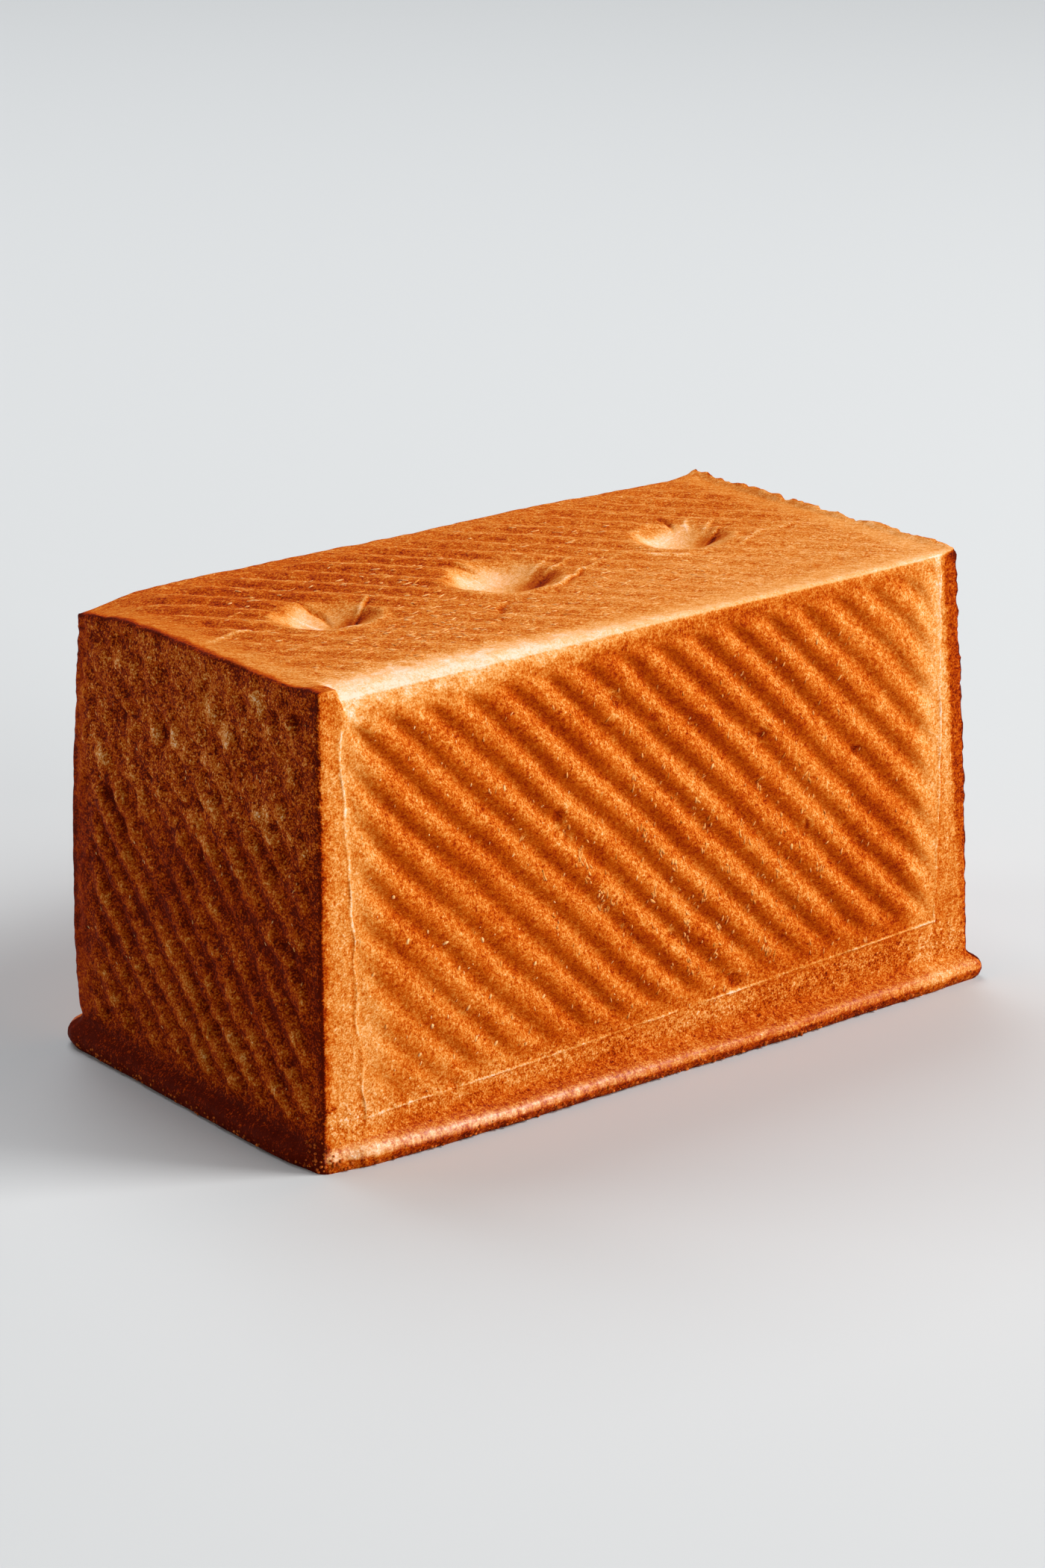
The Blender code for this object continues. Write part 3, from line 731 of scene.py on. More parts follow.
def beside_line(line):
    """Distance of every point from a line seen from above, less than zero on its left, and the share
    of the line's length at which the nearest place lies."""
    corners = np.array(line) * MM
    lengths = np.linalg.norm(np.diff(corners, axis=0), axis=1)
    best = np.full(len(points), np.inf)
    signed = np.zeros(len(points))
    along = np.zeros(len(points))
    for number, (start, end) in enumerate(zip(corners[:-1], corners[1:])):
        direction = (end - start) / lengths[number]
        from_start = points[:, :2] - start
        step = np.clip(from_start @ direction, 0, lengths[number])
        away = from_start - np.outer(step, direction)
        distance = np.hypot(away[:, 0], away[:, 1])
        closer = distance < best
        side = np.sign(direction[1] * away[:, 0] - direction[0] * away[:, 1])
        best[closer] = distance[closer]
        signed[closer] = (distance * np.where(side == 0, 1, side))[closer]
        along[closer] = (lengths[:number].sum() + step)[closer] / lengths.sum()
    return signed, along


fold_wander = 0.7 * MM * noise_at(5 * MM, 24)
for line, fold_height, half, crease_depth in FOLDS:
    signed, along = beside_line(line)
    signed = signed + fold_wander
    ends = np.sqrt(np.clip(np.sin(np.pi * np.clip(along, 0.02, 0.98)), 0, 1)) * on_top
    ridge = swell(signed, 0, half * MM) * ends
    furrow = swell(signed, 1.6 * half * MM, 0.6 * half * MM) * ends
    moves[:, 2] += (fold_height * ridge - crease_depth * furrow) * MM
    tone += (FOLD_TONE if fold_height > 0 else FOLD_SHADE) * ridge
    tone += FOLD_SHADE * furrow * (crease_depth > 0.25)
print("deepest point of the top, mm:", round(float(moves[on_top, 2].min() / MM), 2))

# %% [markdown]
# ## Edges, rim and bows
#
# The next sizes round the edges, flare the foot into the rim and let the walls bow out. The near left
# corner of the top stands up as a small ear, the corner behind it is slack, and the far corner ends in
# a peak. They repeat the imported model's own formulas, for whole arrays.

# %% Sizes of the edges and the rim
RIM_REACH = 3.2 * MM
RIM_REACH_MIDDLE = 1.8 * MM
RIM_Z = 2.7 * MM
RIM_UNDERCUT = 0.35
FLARE = 3 * MM
RIM_FULLNESS = 3.5
RIM_UNEVEN = 0.18
RIM_UNEVEN_SIZE = 14 * MM
RIM_CORNER_RADIUS_NEAR = 2.5 * MM
RIM_CORNER_RADIUS_LEFT = 8.5 * MM
RIM_CORNER_RADIUS_RIGHT = 2.5 * MM
RIM_CORNER_Z = 10 * MM
RIM_PINCH = 0.95
RIM_PINCH_REACH = 11 * MM
CORNER_RADIUS = 1 * MM
SLACK_CORNER_RADIUS = 5.6 * MM
SLACK_CORNER_TOP = 32 * MM
EDGE_RADIUS = 0.9 * MM
FRONT_EDGE_RADIUS_LEFT = 7.5 * MM
FRONT_EDGE_RADIUS_RIGHT = 1.8 * MM
FRONT_EDGE_NARROWS_AT = 30 * MM
BOW = 0.8 * MM
BOW_LOST_AT_CORNERS = 0.6
EAR_LENGTH = 5.6 * MM
EAR_DEPTH = 9 * MM
EAR_RISE = 1.4 * MM
DROOP = 2.4 * MM
DROOP_REACH = 12 * MM
PEAK = 0.9 * MM
PEAK_REACH = 5 * MM
CRAGS = 1 * MM
CRAG_SIZE = 5 * MM
CRAG_WIDTH = 3 * MM
NEAR_CRAGS = 0.3
SWELL = 0.45 * MM
SWELL_SIZE = 38 * MM
SWELL_SEED = 1796075618


def near_top(start, end=0):
    """0 below the start and 1 above the end, both in mm under the tin's base."""
    return smooth(HEIGHT - start * MM, HEIGHT - end * MM, z)


def round_off(first, second, radius):
    """Two distances inward from the sides that meet at an edge, after the edge is rounded."""
    a, b = radius - first, radius - second
    turned = (a > 0) & (b > 0)
    share = np.where(turned, np.maximum(a, b) / np.maximum(np.hypot(a, b), 1e-12), 1)
    return np.where(turned, radius - a * share, first), np.where(turned, radius - b * share, second)


# %% Radii along the edges
far_left = (x < 0) & (y > 0)
slack = (SLACK_CORNER_RADIUS - CORNER_RADIUS) * (1 - smooth(0, SLACK_CORNER_TOP, z)) * far_left
upright_radius = CORNER_RADIUS + slack
left_radius = np.where(y < 0, RIM_CORNER_RADIUS_NEAR, RIM_CORNER_RADIUS_LEFT)
rim_radius = np.where(x < 0, left_radius, RIM_CORNER_RADIUS_RIGHT)
upright_radius += (rim_radius - upright_radius) * (1 - smooth(RIM_Z, RIM_CORNER_Z, z))

ear_end = EAR_LENGTH - BASE_LENGTH / 2
front_radius = FRONT_EDGE_RADIUS_LEFT + (
    FRONT_EDGE_RADIUS_RIGHT - FRONT_EDGE_RADIUS_LEFT
) * smooth(ear_end, FRONT_EDGE_NARROWS_AT, x)
past_ear = smooth(ear_end - 0.5 * MM, ear_end + 1.2 * MM, x)
front_radius = EDGE_RADIUS + (front_radius - EDGE_RADIUS) * past_ear
top_edge_radius = np.where(y < 0, front_radius, EDGE_RADIUS)

# %% Move every point to its place
inward_x, inward_y, below = half_length(z) - np.abs(x), half_width(z) - np.abs(y), HEIGHT - z
fuzz = 0.5 * noise_at(2.6 * MM, 27)
edge_band = 1 - smooth(0.0, 1.6, below / top_edge_radius + fuzz)
edge_band *= 1 - smooth(0.2, 2.6, inward_y / top_edge_radius + fuzz)
inward_x, inward_y = round_off(inward_x, inward_y, upright_radius)
inward_x, below = round_off(inward_x, below, EDGE_RADIUS)
inward_y, below = round_off(inward_y, below, top_edge_radius)

rise = np.sin(np.pi * smooth(MOUTH_Z, HEIGHT, z))
bow_x = BOW * rise * (1 - BOW_LOST_AT_CORNERS * (y / half_width(z)) ** 2)
bow_y = BOW * rise * (1 - BOW_LOST_AT_CORNERS * (x / half_length(z)) ** 2)
flat = np.column_stack((x, y, np.zeros_like(z)))
above_rim = np.exp(-(np.clip((z - RIM_Z) / FLARE, 0, None) ** RIM_FULLNESS))
under_rim = 1 - RIM_UNDERCUT * ((RIM_Z - z) / RIM_Z) ** 2
flare = RIM_REACH + RIM_REACH_MIDDLE * (1 - (x / half_length(0)) ** 2)
flare = flare * np.where(z > RIM_Z, above_rim, under_rim)
flare *= 1 + RIM_UNEVEN * noise_at(RIM_UNEVEN_SIZE, places=flat)
flare *= 1 - RIM_PINCH * swell(np.hypot(x + half_length(z), y + half_width(z)), 0, RIM_PINCH_REACH)

placed = np.column_stack((
    np.copysign(np.clip(half_length(z) - inward_x, 0, None), x) * (1 + (bow_x + flare) / half_length(z)),
    np.copysign(np.clip(half_width(z) - inward_y, 0, None), y) * (1 + (bow_y + flare) / half_width(z)),
    HEIGHT - below,
))
# The pattern of noise_vector shifts with a seed, which is the time of day unless it is set.
noise.seed_set(SWELL_SEED)
drift = np.array([noise.noise_vector(Vector(place) / SWELL_SIZE) for place in points])
placed += moves + drift * (SWELL * smooth(0, MOUTH_Z, z))[:, None]

# %% Ear, slack corner, peak and the crumbs along the far edge
upper = smooth(HEIGHT - EAR_DEPTH, HEIGHT, z)
ear = 1 - smooth(0.8 * EAR_LENGTH, 1.2 * EAR_LENGTH, x + BASE_LENGTH / 2)
ear = ear * (1 - smooth(0.3 * EAR_DEPTH, 1.3 * EAR_DEPTH, y + BASE_WIDTH / 2))
droop = swell(np.hypot(x + BASE_LENGTH / 2, y - BASE_WIDTH / 2), 0, DROOP_REACH)
peak = swell(np.hypot(x - BASE_LENGTH / 2, y - BASE_WIDTH / 2), 0, PEAK_REACH)
placed[:, 2] += (EAR_RISE * ear + PEAK * peak - DROOP * droop) * upper

crag_upper = smooth(HEIGHT - CRAG_WIDTH, HEIGHT, z)
crag_wave = noise_at(CRAG_SIZE, places=flat)
far_crags = smooth(BASE_LENGTH / 2 - CRAG_WIDTH, BASE_LENGTH / 2, x) * (1 + crag_wave)
near_crags = smooth(BASE_LENGTH / 2 - CRAG_WIDTH, BASE_LENGTH / 2, -x) * crag_wave * NEAR_CRAGS
placed[:, 2] += CRAGS * (far_crags + near_crags) * crag_upper

for vert, place in zip(bm.verts, placed):
    vert.co = place
bm.normal_update()
print("formed, mm:", (placed.min(axis=0) / MM).round(1), (placed.max(axis=0) / MM).round(1))

# %% [markdown]
# ## Fine relief
#
# What is finer than a rib is moved along the surface's own direction, which is known only now. The skin
# is grainy where it was pressed against the tin, and smoother where it hung free, as in the hollows.
# The short sides crumpled, and the foot of the rim and the far edge of the top are broken and crumbly.

# %% Grain, crumples and the broken rim
GRAIN_SIZE = 2.6 * MM
GRAIN = 0.17 * MM
LUMP_SIZE = 6.5 * MM
LUMPS = 0.2 * MM
CRUMPLE_SIZE = 5.5 * MM
CRUMPLES = 0.7 * MM
WRINKLE_SIZE = 2.7 * MM
WRINKLES = 0.22 * MM
CRUMPLE_PAINTED_LIGHT, WRINKLE_PAINTED_LIGHT = 0.07, 0.09
RIM_GRAIN_SIZE = 2.2 * MM
RIM_GRAIN = 0.5 * MM


def creased_noise(size, seed):
    """Noise that is 1 along narrow crests and less than zero between them."""
    return 1 - 2.6 * np.abs(noise_at(size, seed))


normals = np.array([vert.normal for vert in bm.verts])
rough = np.clip(grain, 0, 1.2)
fine = LUMPS * noise_at(LUMP_SIZE, 7) * (0.4 + 0.6 * rough)
fine += GRAIN * noise_at(GRAIN_SIZE, 8) * rough * smooth_mm(3, 9, z)
crumple = creased_noise(CRUMPLE_SIZE, 25)
crumple_share = on_ends * smooth_mm(6, 14, z) * (0.5 + 0.5 * smooth_mm(55, 75, z))
fine += CRUMPLES * crumple * crumple_share * smooth_mm(1, 6, half_width(z) - np.abs(y))
wrinkle = creased_noise(WRINKLE_SIZE, 33)
fine += WRINKLES * wrinkle * crumple_share
# Painted light and shade: crumple and wrinkle crests are painted paler, the creases between them darker.
tone += (CRUMPLE_PAINTED_LIGHT * crumple + WRINKLE_PAINTED_LIGHT * wrinkle) * crumple_share
broken = 1 - smooth(RIM_Z - 0.6 * MM, RIM_Z + 0.4 * MM, z)
broken = np.maximum(broken, 0.7 * on_ends * (1 - smooth_mm(5, 8, z)))
fine += RIM_GRAIN * noise_at(RIM_GRAIN_SIZE, 9) * broken * smooth_mm(0, 0.6, z)
far_broken = smooth(BASE_LENGTH / 2 - 2.5 * MM, BASE_LENGTH / 2, x) * near_top(3)
far_corner = (1 - smooth_mm(0.6, 2.2, inward_y)) * on_right * smooth_mm(12, 30, z)
fine += RIM_GRAIN * noise_at(RIM_GRAIN_SIZE, 10) * np.maximum(1.8 * far_broken, far_corner)

# %% Torn spots and cracks
# Torn spots on the front: where along it and how high, and their radius, in mm
TORN_SPOTS = (
    (-30.1, 70.2, 1.8), (-27.4, 63.5, 1.4), (-31.0, 65.5, 1.1), (-12.5, 92.9, 1.7), (-1.3, 88.3, 1.5),
    (30.9, 76.5, 1.4), (21.7, 17.3, 1.8), (45.0, 52.0, 1.0), (-61.2, 12.0, 1.3), (61.0, 67.0, 1.2),
    (3.0, 33.0, 1.0), (-70.0, 82.0, 0.9),
)
TORN_DEPTH = 0.55 * MM
TORN_EDGE_TONE, TORN_PIT_PAINTED_SHADE = 0.2, -0.14
# Cracks of the near short side: their points as distance back and height in mm
END_CRACKS = (
    ((24, 78), (16.7, 75.7), (8, 75.7), (3, 73), (-5.8, 74.5)),
    ((-34.5, 50.7), (-40, 49.6), (-48, 49.5)),
    ((33, 93), (28, 88), (27, 82)),
)
CRACK_DEPTH = 0.5 * MM
CRACK_PAINTED_SHADE, CRACK_LIP_TONE = -0.16, 0.07
# Pale blisters of the near short side: distance back, height and radius in mm
BLISTERS = (
    (-27, 104, 3.0), (-7, 97, 3.2), (-14.5, 93, 3.0), (6.7, 88, 2.6), (-5.8, 86, 2.2), (14, 86, 2.4),
    (36.7, 76, 2.8), (30.5, 101, 2.4), (-30, 80, 2.0), (20, 66, 2.2),
)
BLISTER_HEIGHT = 0.4 * MM
BLISTER_TONE = 0.26

torn_wave = 0.4 * noise_at(1.7 * MM, 11)
for along, height, radius in TORN_SPOTS:
    share = np.hypot(x - along * MM, (z - height * MM) * 0.7) / (radius * MM) + torn_wave
    pit = (1 - smooth(0.6, 1.0, share)) * on_front
    edge = swell(share, 1.15, 0.18) * on_front
    fine += TORN_DEPTH * (0.35 * edge - pit)
    # The pit of a torn spot is painted darker: painted shade.
    tone += TORN_EDGE_TONE * edge + TORN_PIT_PAINTED_SHADE * pit
for line in END_CRACKS:
    for start, end in zip(line[:-1], line[1:]):
        first, span = np.array(start) * MM, (np.array(end) - np.array(start)) * MM
        from_first = np.column_stack((y, z)) - first
        step = np.clip(from_first @ span / (span @ span), 0, 1)
        away = from_first - np.outer(step, span)
        distance = np.hypot(away[:, 0], away[:, 1]) + 0.6 * MM * torn_wave
        crack = swell(distance, 0, 0.9 * MM) * on_left
        fine -= CRACK_DEPTH * crack
        # The crack is painted darker along its line: painted shade.
        tone += CRACK_PAINTED_SHADE * crack
        tone += CRACK_LIP_TONE * swell(distance, 2.0 * MM, 0.8 * MM) * on_left
for back_by, height, radius in BLISTERS:
    share = np.hypot(y - back_by * MM, (z - height * MM) * 0.8) / (radius * MM) + 1.2 * torn_wave
    blister = (1 - smooth(0.55, 1.05, share)) * on_left
    fine += BLISTER_HEIGHT * blister
    tone += BLISTER_TONE * blister

placed += normals * fine[:, None]
room = box_high[2] - HEIGHT
above = placed[:, 2] > HEIGHT
placed[above, 2] = HEIGHT + room * np.tanh((placed[above, 2] - HEIGHT) / room)
placed = np.clip(placed, box_low, box_high)
placed[points[:, 2] < 1e-6, 2] = 0
for vert, place in zip(bm.verts, placed):
    vert.co = place
print("fine relief, mm:", round(float(fine.min() / MM), 2), "to", round(float(fine.max() / MM), 2))

# %% [markdown]
# ## Edges and rim in colour
#
# The front edge of the top stayed cream and blends into the side below it. The rim's flare is greasy
# and smooth, and a pale band is painted along its shoulder as its highlight. Its broken foot is darker,
# partly its own browner crumbs and partly painted shade under the bead.

# %% Paint the edges and the rim
EDGE_TONE = 0.38
RIM_PAINTED_HIGHLIGHT = 0.22
RIGHT_LINE_TONE = -0.25
FLARE_TONE, END_FLARE_TONE = -0.04, -0.1
BROKEN_FOOT_TONE_AND_SHADE = -0.17
FAR_CORNER_TONE, NEAR_EDGE_TONE = -0.12, -0.17
EAR_TONE, EAR_BLOTCHES, EAR_STEP_PAINTED_SHADOW = -0.16, 0.2, -0.2

along_edge = 0.35 + 0.65 * (1 - smooth_mm(-60, 40, x))
edge_noise = 0.3 * noise_at(4 * MM, 12) + 0.3 * noise_at(1.6 * MM, 26)
front_edge = edge_band * (y < 0) * smooth(ear_end - 0.5 * MM, ear_end + 2 * MM, x)
right_line = (1 - smooth_mm(2.4, 3.6, inward_x)) * (x > 0) * on_front
tone += RIGHT_LINE_TONE * right_line * near_top(3, 1)
streaky *= 1 - 0.9 * front_edge
tone += EDGE_TONE * along_edge * front_edge * (1 + edge_noise)
grain *= 1 - 0.2 * front_edge
gloss += smooth_mm(2.2, 3.2, z) * (1 - smooth_mm(4.2, 5.8, z)) * ~on_ends
# Painted highlight: a pale band along the front rim's shoulder, strongest on the left.
painted_rim_highlight = gloss * (1 - 0.35 * smooth_mm(-60, 20, x)) * (y < 0)
gloss *= 1 - 0.8 * smooth_mm(-60, 20, x)
flare_share = 1 - smooth_mm(6, 10, z)
tone += FLARE_TONE * flare_share * on_front + END_FLARE_TONE * flare_share * on_ends
tone += RIM_PAINTED_HIGHLIGHT * painted_rim_highlight
# The rim's broken foot is painted darker, partly its own browner crumbs and partly painted shade under
# the bead.
tone += BROKEN_FOOT_TONE_AND_SHADE * broken * (1 + 0.8 * noise_at(1.8 * MM, 30))
tone += far_broken * (0.2 * noise_at(2.5 * MM, 13) - 0.02)
tone += FAR_CORNER_TONE * far_corner * (1 + noise_at(2 * MM, 13))
tone += NEAR_EDGE_TONE * (swell(inward_x, 0, 1.2 * MM) * near_top(1.5) * (x < 0))
tone += (EAR_TONE - EAR_BLOTCHES * noise_at(2 * MM, 31)) * ear * near_top(7)
# Painted shadow: a dark line where the ear steps down to the front edge.
ear_step_shadow = swell(x, ear_end + 0.3 * MM, 0.6 * MM) * (y < 0) * near_top(9, 2)
tone += EAR_STEP_PAINTED_SHADOW * ear_step_shadow * (1 - smooth_mm(3, 8, inward_y))
print("paint:", round(float(tone.min()), 2), "to", round(float(tone.max()), 2))

# %% Close the underside and make the crust's mesh
open_edges = [edge for edge in bm.edges if edge.is_boundary]
closing = bmesh.ops.holes_fill(bm, edges=open_edges, sides=0)["faces"]
bmesh.ops.recalc_face_normals(bm, faces=bm.faces[:])
bm.normal_update()
skin = BVHTree.FromBMesh(bm)
for face in bm.faces:
    face.smooth = True
crust_mesh = mesh_of(bm, "loaf_crust")
for name, values in (("tone", tone), ("grain", grain), ("gloss", gloss), ("streaky", streaky)):
    layer = crust_mesh.attributes.new(name, "FLOAT", "POINT")
    layer.data.foreach_set("value", values.astype(np.float32))
crust_mesh.calc_loop_triangles()
crust = new_object("loaf_crust", crust_mesh)
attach(crust, "root")
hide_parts("loaf")
print("crust:", len(crust_mesh.loop_triangles), "triangles,", len(closing), "closing faces")

# %% [markdown]
# ## Baked crust
#
# Bread crust is a thin, dry skin of starch and protein that browned against hot greased metal. Its
# colour is one scale, from a dark red-brown through orange to cream, and the painted tone, blotches and
# specks down to the size of sand all move along it. So the material adds them up to one number and
# looks the colour up in a ramp. The crust hardly shines. Only the flare of the rim does, where grease
# gathered, in fine upright streaks, and there the same streaks pale the colour as a painted highlight.

# %% Patterns of the crust
CRUST_STOPS = (
    (0.00, "#541000"), (0.18, "#942B00"), (0.36, "#B85002"), (0.52, "#CD7828"), (0.68, "#E19D56"),
    (0.84, "#EFBA8B"), (1.00, "#F0D6C2"),
)
BASE_TONE = 0.36
BLOTCH_SIZE = 14 * MM
MOTTLE_SIZE = 3.4 * MM
SPECK_SIZE = 1.1 * MM
SAND_SIZE = 0.45 * MM
STREAK_SIZE = 1.2 * MM
STREAK_STRETCH = 0.15
RIM_HIGHLIGHT_STREAKS = 0.9
TEAR_SIZE = 0.8 * MM
TEAR_STRETCH = 5
TEAR_SHARE = 0.7
FLECK_SIZE = 0.6 * MM
FLECK_SHARE = 0.1

baked_crust, tree = new_material("baked_bread_crust")
place = add_node(tree, "ShaderNodeTexCoord").outputs["Object"]


def attribute(name):
    return add_node(tree, "ShaderNodeAttribute", {"attribute_name": name}).outputs["Fac"]


def math_of(operation, first, second):
    return add_node(tree, "ShaderNodeMath", {"operation": operation}, {0: first, 1: second}).outputs[0]


def plus(first, second):
    return math_of("ADD", first, second)


def times(first, second):
    return math_of("MULTIPLY", first, second)


def centred(value):
    """Turns 0 to 1 into -0.5 to 0.5."""
    return math_of("SUBTRACT", value, 0.5)


def noise_of(size, detail, roughness=0.5, where=place):
    """A noise value from 0 to 1 with features of a real size."""
    return add_node(tree, "ShaderNodeTexNoise", inputs={
        "Vector": where, "Scale": 1 / size, "Detail": detail, "Roughness": roughness,
    }).outputs["Fac"]


def raised(value, low, high, least=0):
    """The least below low, 1 above high and even between them."""
    return add_node(tree, "ShaderNodeMapRange", inputs={
        "Value": value, "From Min": low, "From Max": high, "To Min": least,
    }).outputs[0]


grainy, gloss_value, streaks_share = attribute("grain"), attribute("gloss"), attribute("streaky")
blotch = noise_of(BLOTCH_SIZE, 3)
mottle = noise_of(MOTTLE_SIZE, 3, 0.6)
speck = noise_of(SPECK_SIZE, 2, 0.6)
sand = noise_of(SAND_SIZE, 2, 0.6)

tone_value = plus(attribute("tone"), BASE_TONE)
# Each pattern: its share in the tone, and the part of that share that the calmer top lacks
shares = ((blotch, 0.30, 0.5), (mottle, 0.32, 0.5), (speck, 0.65, 0.2), (sand, 1.0, 0))
for pattern, share, calming in shares:
    calm = math_of("SUBTRACT", share, times(streaks_share, share * calming))
    tone_value = plus(tone_value, times(centred(pattern), times(grainy, calm)))
# Pale flecks of lifted skin, and on the top pale tears that run along its ribs
flecks = raised(noise_of(FLECK_SIZE, 1), 0.60, 0.72)
tone_value = plus(tone_value, times(flecks, times(grainy, FLECK_SHARE)))
along_ribs = add_node(tree, "ShaderNodeMapping", {"vector_type": "TEXTURE"}, {
    "Vector": place, "Rotation": (0, 0, TOP_RIB_ANGLE), "Scale": (1, TEAR_STRETCH, 1),
}).outputs[0]
tears = times(centred(noise_of(TEAR_SIZE, 3, 0.6, along_ribs)), streaks_share)
tone_value = plus(tone_value, times(tears, times(grainy, TEAR_SHARE)))
# The streaks of the rim are a noise that is stretched upright, as the lid drew the grease.
upright = add_node(tree, "ShaderNodeVectorMath", {"operation": "MULTIPLY"}, {
    0: place, 1: (1, 1, STREAK_STRETCH),
}).outputs[0]
streaks = noise_of(STREAK_SIZE, 2, where=upright)
# Painted highlight: the streaks pale the colour where the rim shines.
tone_value = plus(tone_value, times(times(centred(streaks), gloss_value), RIM_HIGHLIGHT_STREAKS))
crust_colour = colour_ramp(tree, tone_value, CRUST_STOPS)
print("crust material:", len(tree.nodes), "nodes so far")

# %% Grain, gloss and the finished crust
BUMP_HEIGHT = 0.35 * MM
SKIN_ROUGHNESS = 0.62

relief = plus(times(speck, 0.6), times(sand, 0.4))
relief = times(plus(relief, tears), grainy)
bump = add_node(tree, "ShaderNodeBump", inputs={
    "Height": relief, "Distance": BUMP_HEIGHT, "Strength": 0.9,
}).outputs["Normal"]
# Grease shines only in some of the streaks.
greasy = raised(streaks, 0.35, 0.60, 0.35)
crust_shader = add_node(tree, "ShaderNodeBsdfPrincipled", inputs={
    "Base Color": crust_colour,
    "Roughness": plus(SKIN_ROUGHNESS, times(centred(mottle), 0.3)),
    "Specular IOR Level": 0.02,
    "Coat Weight": times(gloss_value, greasy),
    "Coat Roughness": 0.42,
    "Coat IOR": 1.8,
    "Normal": bump,
})
finish_material(tree, crust_shader)
crust_mesh.materials.append(baked_crust)
print("crust material:", len(tree.nodes), "nodes")

# %% [markdown]
# ## Torn skin and crumbs
#
# Here and there the skin stuck to the tin and tore as the loaf slid out. On the front it stands up in
# small pale flakes, and below the ribs in tufts of golden ones. On the top the flakes lie along the
# ribs. Crumbs cling to the broken foot of the rim. At this size only a flake's length, direction and
# colour show, so each one is a flattened ball of few faces. All of one kind are joined in one mesh. A
# ray from outside finds the crust under each.

# %% Where a piece touches the crust
TOUCH_FROM = {FRONT: FRONT.out, LEFT: LEFT.out, "top": UP}
RAY_START = 0.2
chance = random.Random(12)


def touch(side, place):
    """The point of the crust, and its normal there, that a ray from outside a side meets."""
    outward = TOUCH_FROM[side]
    start = Vector(place) + outward * (RAY_START - Vector(place).dot(outward))
    found, normal, _, _ = skin.ray_cast(start, -outward)
    return found, normal


def lying(place, normal, heading):
    """A matrix whose x runs along the heading as near as the crust allows, and whose z is its normal."""
    along = (heading - normal * heading.dot(normal)).normalized()
    turn = Matrix((along, normal.cross(along), normal)).transposed()
    return Matrix.Translation(place) @ turn.to_4x4()


def finish_pieces(bm, name, material):
    """Makes one object of all the pieces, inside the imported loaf's box."""
    for vert in bm.verts:
        vert.co = np.clip(vert.co, box_low, box_high)
    for face in bm.faces:
        face.smooth = True
    mesh = mesh_of(bm, name)
    mesh.materials.append(material)
    made = new_object(name, mesh)
    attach(made, "root")
    print(name, len(mesh.polygons), "faces")


def pieces_material(name, low_colour, high_colour, size):
    """A dry, matte skin whose colour changes between two colours over a size."""
    material, tree = new_material(name)
    place = add_node(tree, "ShaderNodeTexCoord").outputs["Object"]
    noise_value = add_node(tree, "ShaderNodeTexNoise", inputs={
        "Vector": place, "Scale": 1 / size, "Detail": 1,
    }).outputs["Fac"]
    colour = colour_ramp(tree, noise_value, ((0.35, low_colour), (0.65, high_colour)))
    finish_material(tree, add_node(tree, "ShaderNodeBsdfPrincipled", inputs={
        "Base Color": colour, "Roughness": 0.8, "Specular IOR Level": 0.05,
    }))
    return material


# Skin that never touched the tin again stays the colour of cream.
lifted_skin = pieces_material("lifted_pale_skin", "#DB8A3A", "#F8C888", 2.5 * MM)
# Torn edges of the ribs browned a little, so they are only somewhat paler than the crust.
torn_skin = pieces_material("torn_golden_skin", "#C97526", "#EFAA60", 3 * MM)
# Crumbs of the broken rim browned in the oven's air.
browned_crumb = pieces_material("oven_browned_crumb", "#8E3004", "#CB6A26", 2.5 * MM)

# %% Flakes of lifted skin
FRONT_FLAKES = 150
TOP_FLAKES = 600
LEFT_FLAKES = 110
FLAKE_THICKNESS = 0.12 * MM
# Flakes of the front that stand out: where along it and how high, in mm
LARGE_FLAKES = (
    (-73.7, 50), (-59, 39.6), (-45.4, 79.8), (15, 72.5), (48.7, 96.2), (39.4, 47.5), (42.7, 55.4),
    (-67, 28), (-50, 31), (-44, 24), (-38, 36), (-55, 22), (-80, 31), (-77, 61), (-71, 22), (-63, 47),
    (-61, 19), (-52, 45), (-47, 38), (-41, 17), (-35, 27), (-83, 44), (-57, 30), (-49, 19), (-66, 36),
)
LARGE_LENGTH, LARGE_WIDTH = 1.9, 0.9


def add_flake(bm, side, place, heading, length, width):
    found, normal = touch(side, place)
    if found is None:
        return
    matrix = lying(found, normal, heading) @ Matrix.Rotation(chance.uniform(-0.35, 0.1), 4, "Y")
    size = Matrix.Diagonal((length / 2, width / 2, FLAKE_THICKNESS, 1))
    bmesh.ops.create_icosphere(bm, subdivisions=1, radius=1, matrix=matrix @ size)


def add_front_flake(bm, along, height, lean, length, width):
    """Adds a flake to the front, with its lean in degrees and all else in mm."""
    lean = math.radians(lean)
    heading = Vector((math.cos(lean), 0, math.sin(lean)))
    add_flake(bm, FRONT, (along * MM, 0, height * MM), heading, length * MM, width * MM)


bm = bmesh.new()
for number in range(FRONT_FLAKES):
    along, lean, height = chance.triangular(-90, 30, -70), chance.gauss(80, 22), chance.uniform(12, 100)
    add_front_flake(bm, along, height, lean, chance.uniform(0.5, 1.5), chance.uniform(0.25, 0.5))
for along, height in LARGE_FLAKES:
    add_front_flake(bm, along, height, chance.gauss(75, 15), LARGE_LENGTH, LARGE_WIDTH)
for number in range(TOP_FLAKES):
    place = Vector((chance.triangular(-84, 60, -45), chance.triangular(-40, 44, -26), 0)) * MM
    lean = TOP_RIB_ANGLE - math.pi / 2 + math.radians(chance.gauss(12, 18))
    heading = Vector((math.cos(lean), math.sin(lean), 0))
    if not in_hollow(place):
        length, width = chance.uniform(1.2, 3.8) * MM, chance.uniform(0.3, 0.6) * MM
        add_flake(bm, "top", place, heading, length, width)
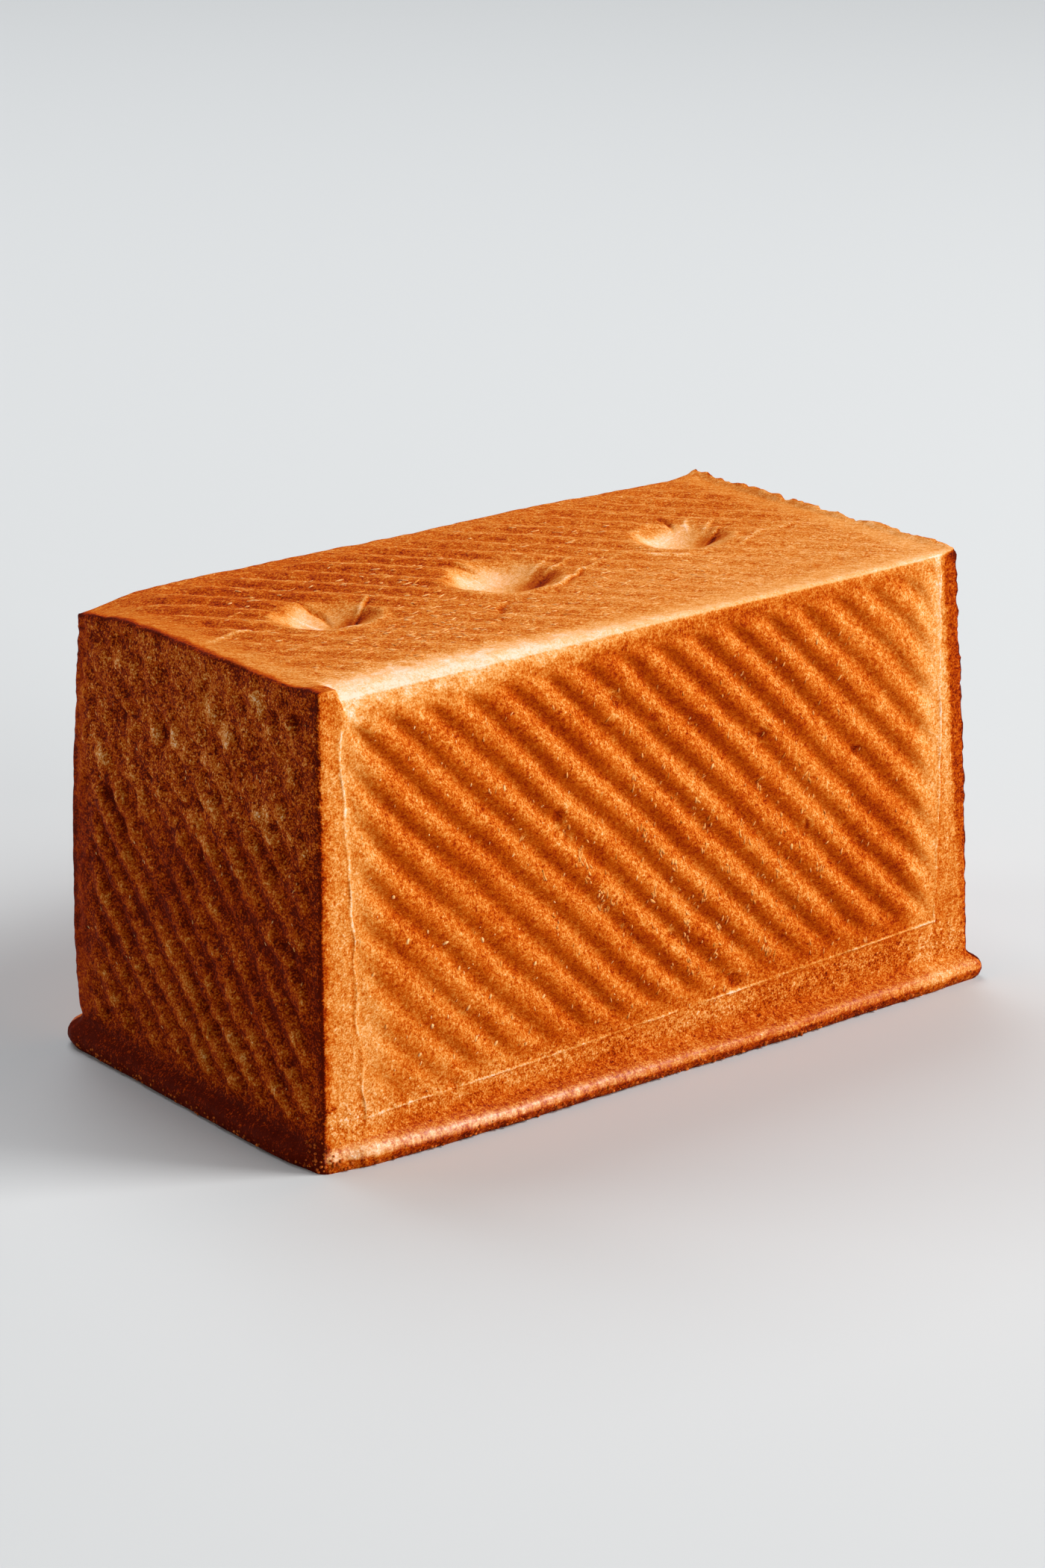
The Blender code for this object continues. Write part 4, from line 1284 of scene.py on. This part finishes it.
for number in range(LEFT_FLAKES):
    place = (0, chance.uniform(-46, 44) * MM, chance.uniform(10, 104) * MM)
    heading = Vector((0, chance.gauss(0.3, 0.4), 1))
    add_flake(bm, LEFT, place, heading, chance.uniform(0.5, 1.4) * MM, chance.uniform(0.2, 0.4) * MM)
finish_pieces(bm, "skin_flakes", lifted_skin)

# %% Tufts of torn skin below the ribs of the front
LOOSE_FLAKES = 320
# Where the tufts stand, along the front and up it in mm, and how many pairs of flakes each has
TUFTS = (
    (-24, 59, 5), (-22, 55, 4), (-18.5, 49, 5), (-16, 46, 3), (7, 37, 4), (7.5, 31, 4), (8, 24, 3),
    (12.5, 41, 3), (32, 22.5, 4), (-31, 45, 2), (-6, 62, 3), (-1, 56, 2), (3, 50, 3), (14, 58, 3),
    (19, 46, 2), (24, 54, 3), (27, 37, 3), (36, 44, 3), (41, 33, 2), (45, 61, 2), (-40, 66, 2),
    (-12, 38, 2), (-3, 44, 3), (18, 33, 3), (22, 28, 2), (-8, 74, 2), (10, 66, 2), (30, 64, 3),
    (37, 54, 2), (48, 42, 3), (52, 52, 2), (16, 26, 3), (-28, 66, 2), (-35, 58, 2),
)

bm = bmesh.new()
for along, height, pairs in TUFTS:
    for number in range(2 * pairs):
        add_front_flake(
            bm, along + chance.gauss(0, 0.5), height + chance.gauss(0, 1.6), chance.gauss(-95, 25),
            chance.uniform(1.0, 2.6), chance.uniform(0.4, 0.8),
        )
for number in range(LOOSE_FLAKES):
    add_front_flake(
        bm, chance.triangular(-60, 88, 30), chance.uniform(16, 98), chance.gauss(-105, 20),
        chance.uniform(0.8, 2.2), chance.uniform(0.3, 0.6),
    )
finish_pieces(bm, "skin_tufts", torn_skin)

# %% Crumbs of the rim and its near corner
FOOT_CRUMBS = 260
CORNER_CRUMBS = 50
CRUMB_ROUGHNESS = 0.25


def add_crumb(bm, side, place, size):
    found, normal = touch(side, place)
    if found is None:
        return
    turned = lying(found, normal, Vector((chance.gauss(0, 1), chance.gauss(0, 1), chance.gauss(0, 1))))
    sides = Matrix.Diagonal([size * chance.uniform(0.35, 0.6) for axis in range(3)] + [1])
    ball = bmesh.ops.create_icosphere(bm, subdivisions=1, radius=1, matrix=turned @ sides)
    for vert in ball["verts"]:
        away = vert.co - found
        vert.co = found + away * chance.uniform(1 - CRUMB_ROUGHNESS, 1 + CRUMB_ROUGHNESS)


bm = bmesh.new()
for number in range(FOOT_CRUMBS):
    height = chance.triangular(0.3, 3.2, 0.8) * MM
    if number % 3:
        add_crumb(bm, FRONT, (chance.uniform(-98, 97) * MM, 0, height), chance.uniform(0.4, 1.1) * MM)
    else:
        add_crumb(bm, LEFT, (0, chance.uniform(-52, 50) * MM, height), chance.uniform(0.4, 1.0) * MM)
for number in range(CORNER_CRUMBS):
    height = chance.triangular(0.2, 9, 0.8) * MM
    side, place = (
        (FRONT, (chance.uniform(-98, -93) * MM, 0, height)),
        (LEFT, (0, chance.uniform(-52, -46) * MM, height)),
    )[number % 2]
    add_crumb(bm, side, place, chance.uniform(0.4, 1.0) * MM)
finish_pieces(bm, "rim_crumbs", browned_crumb)
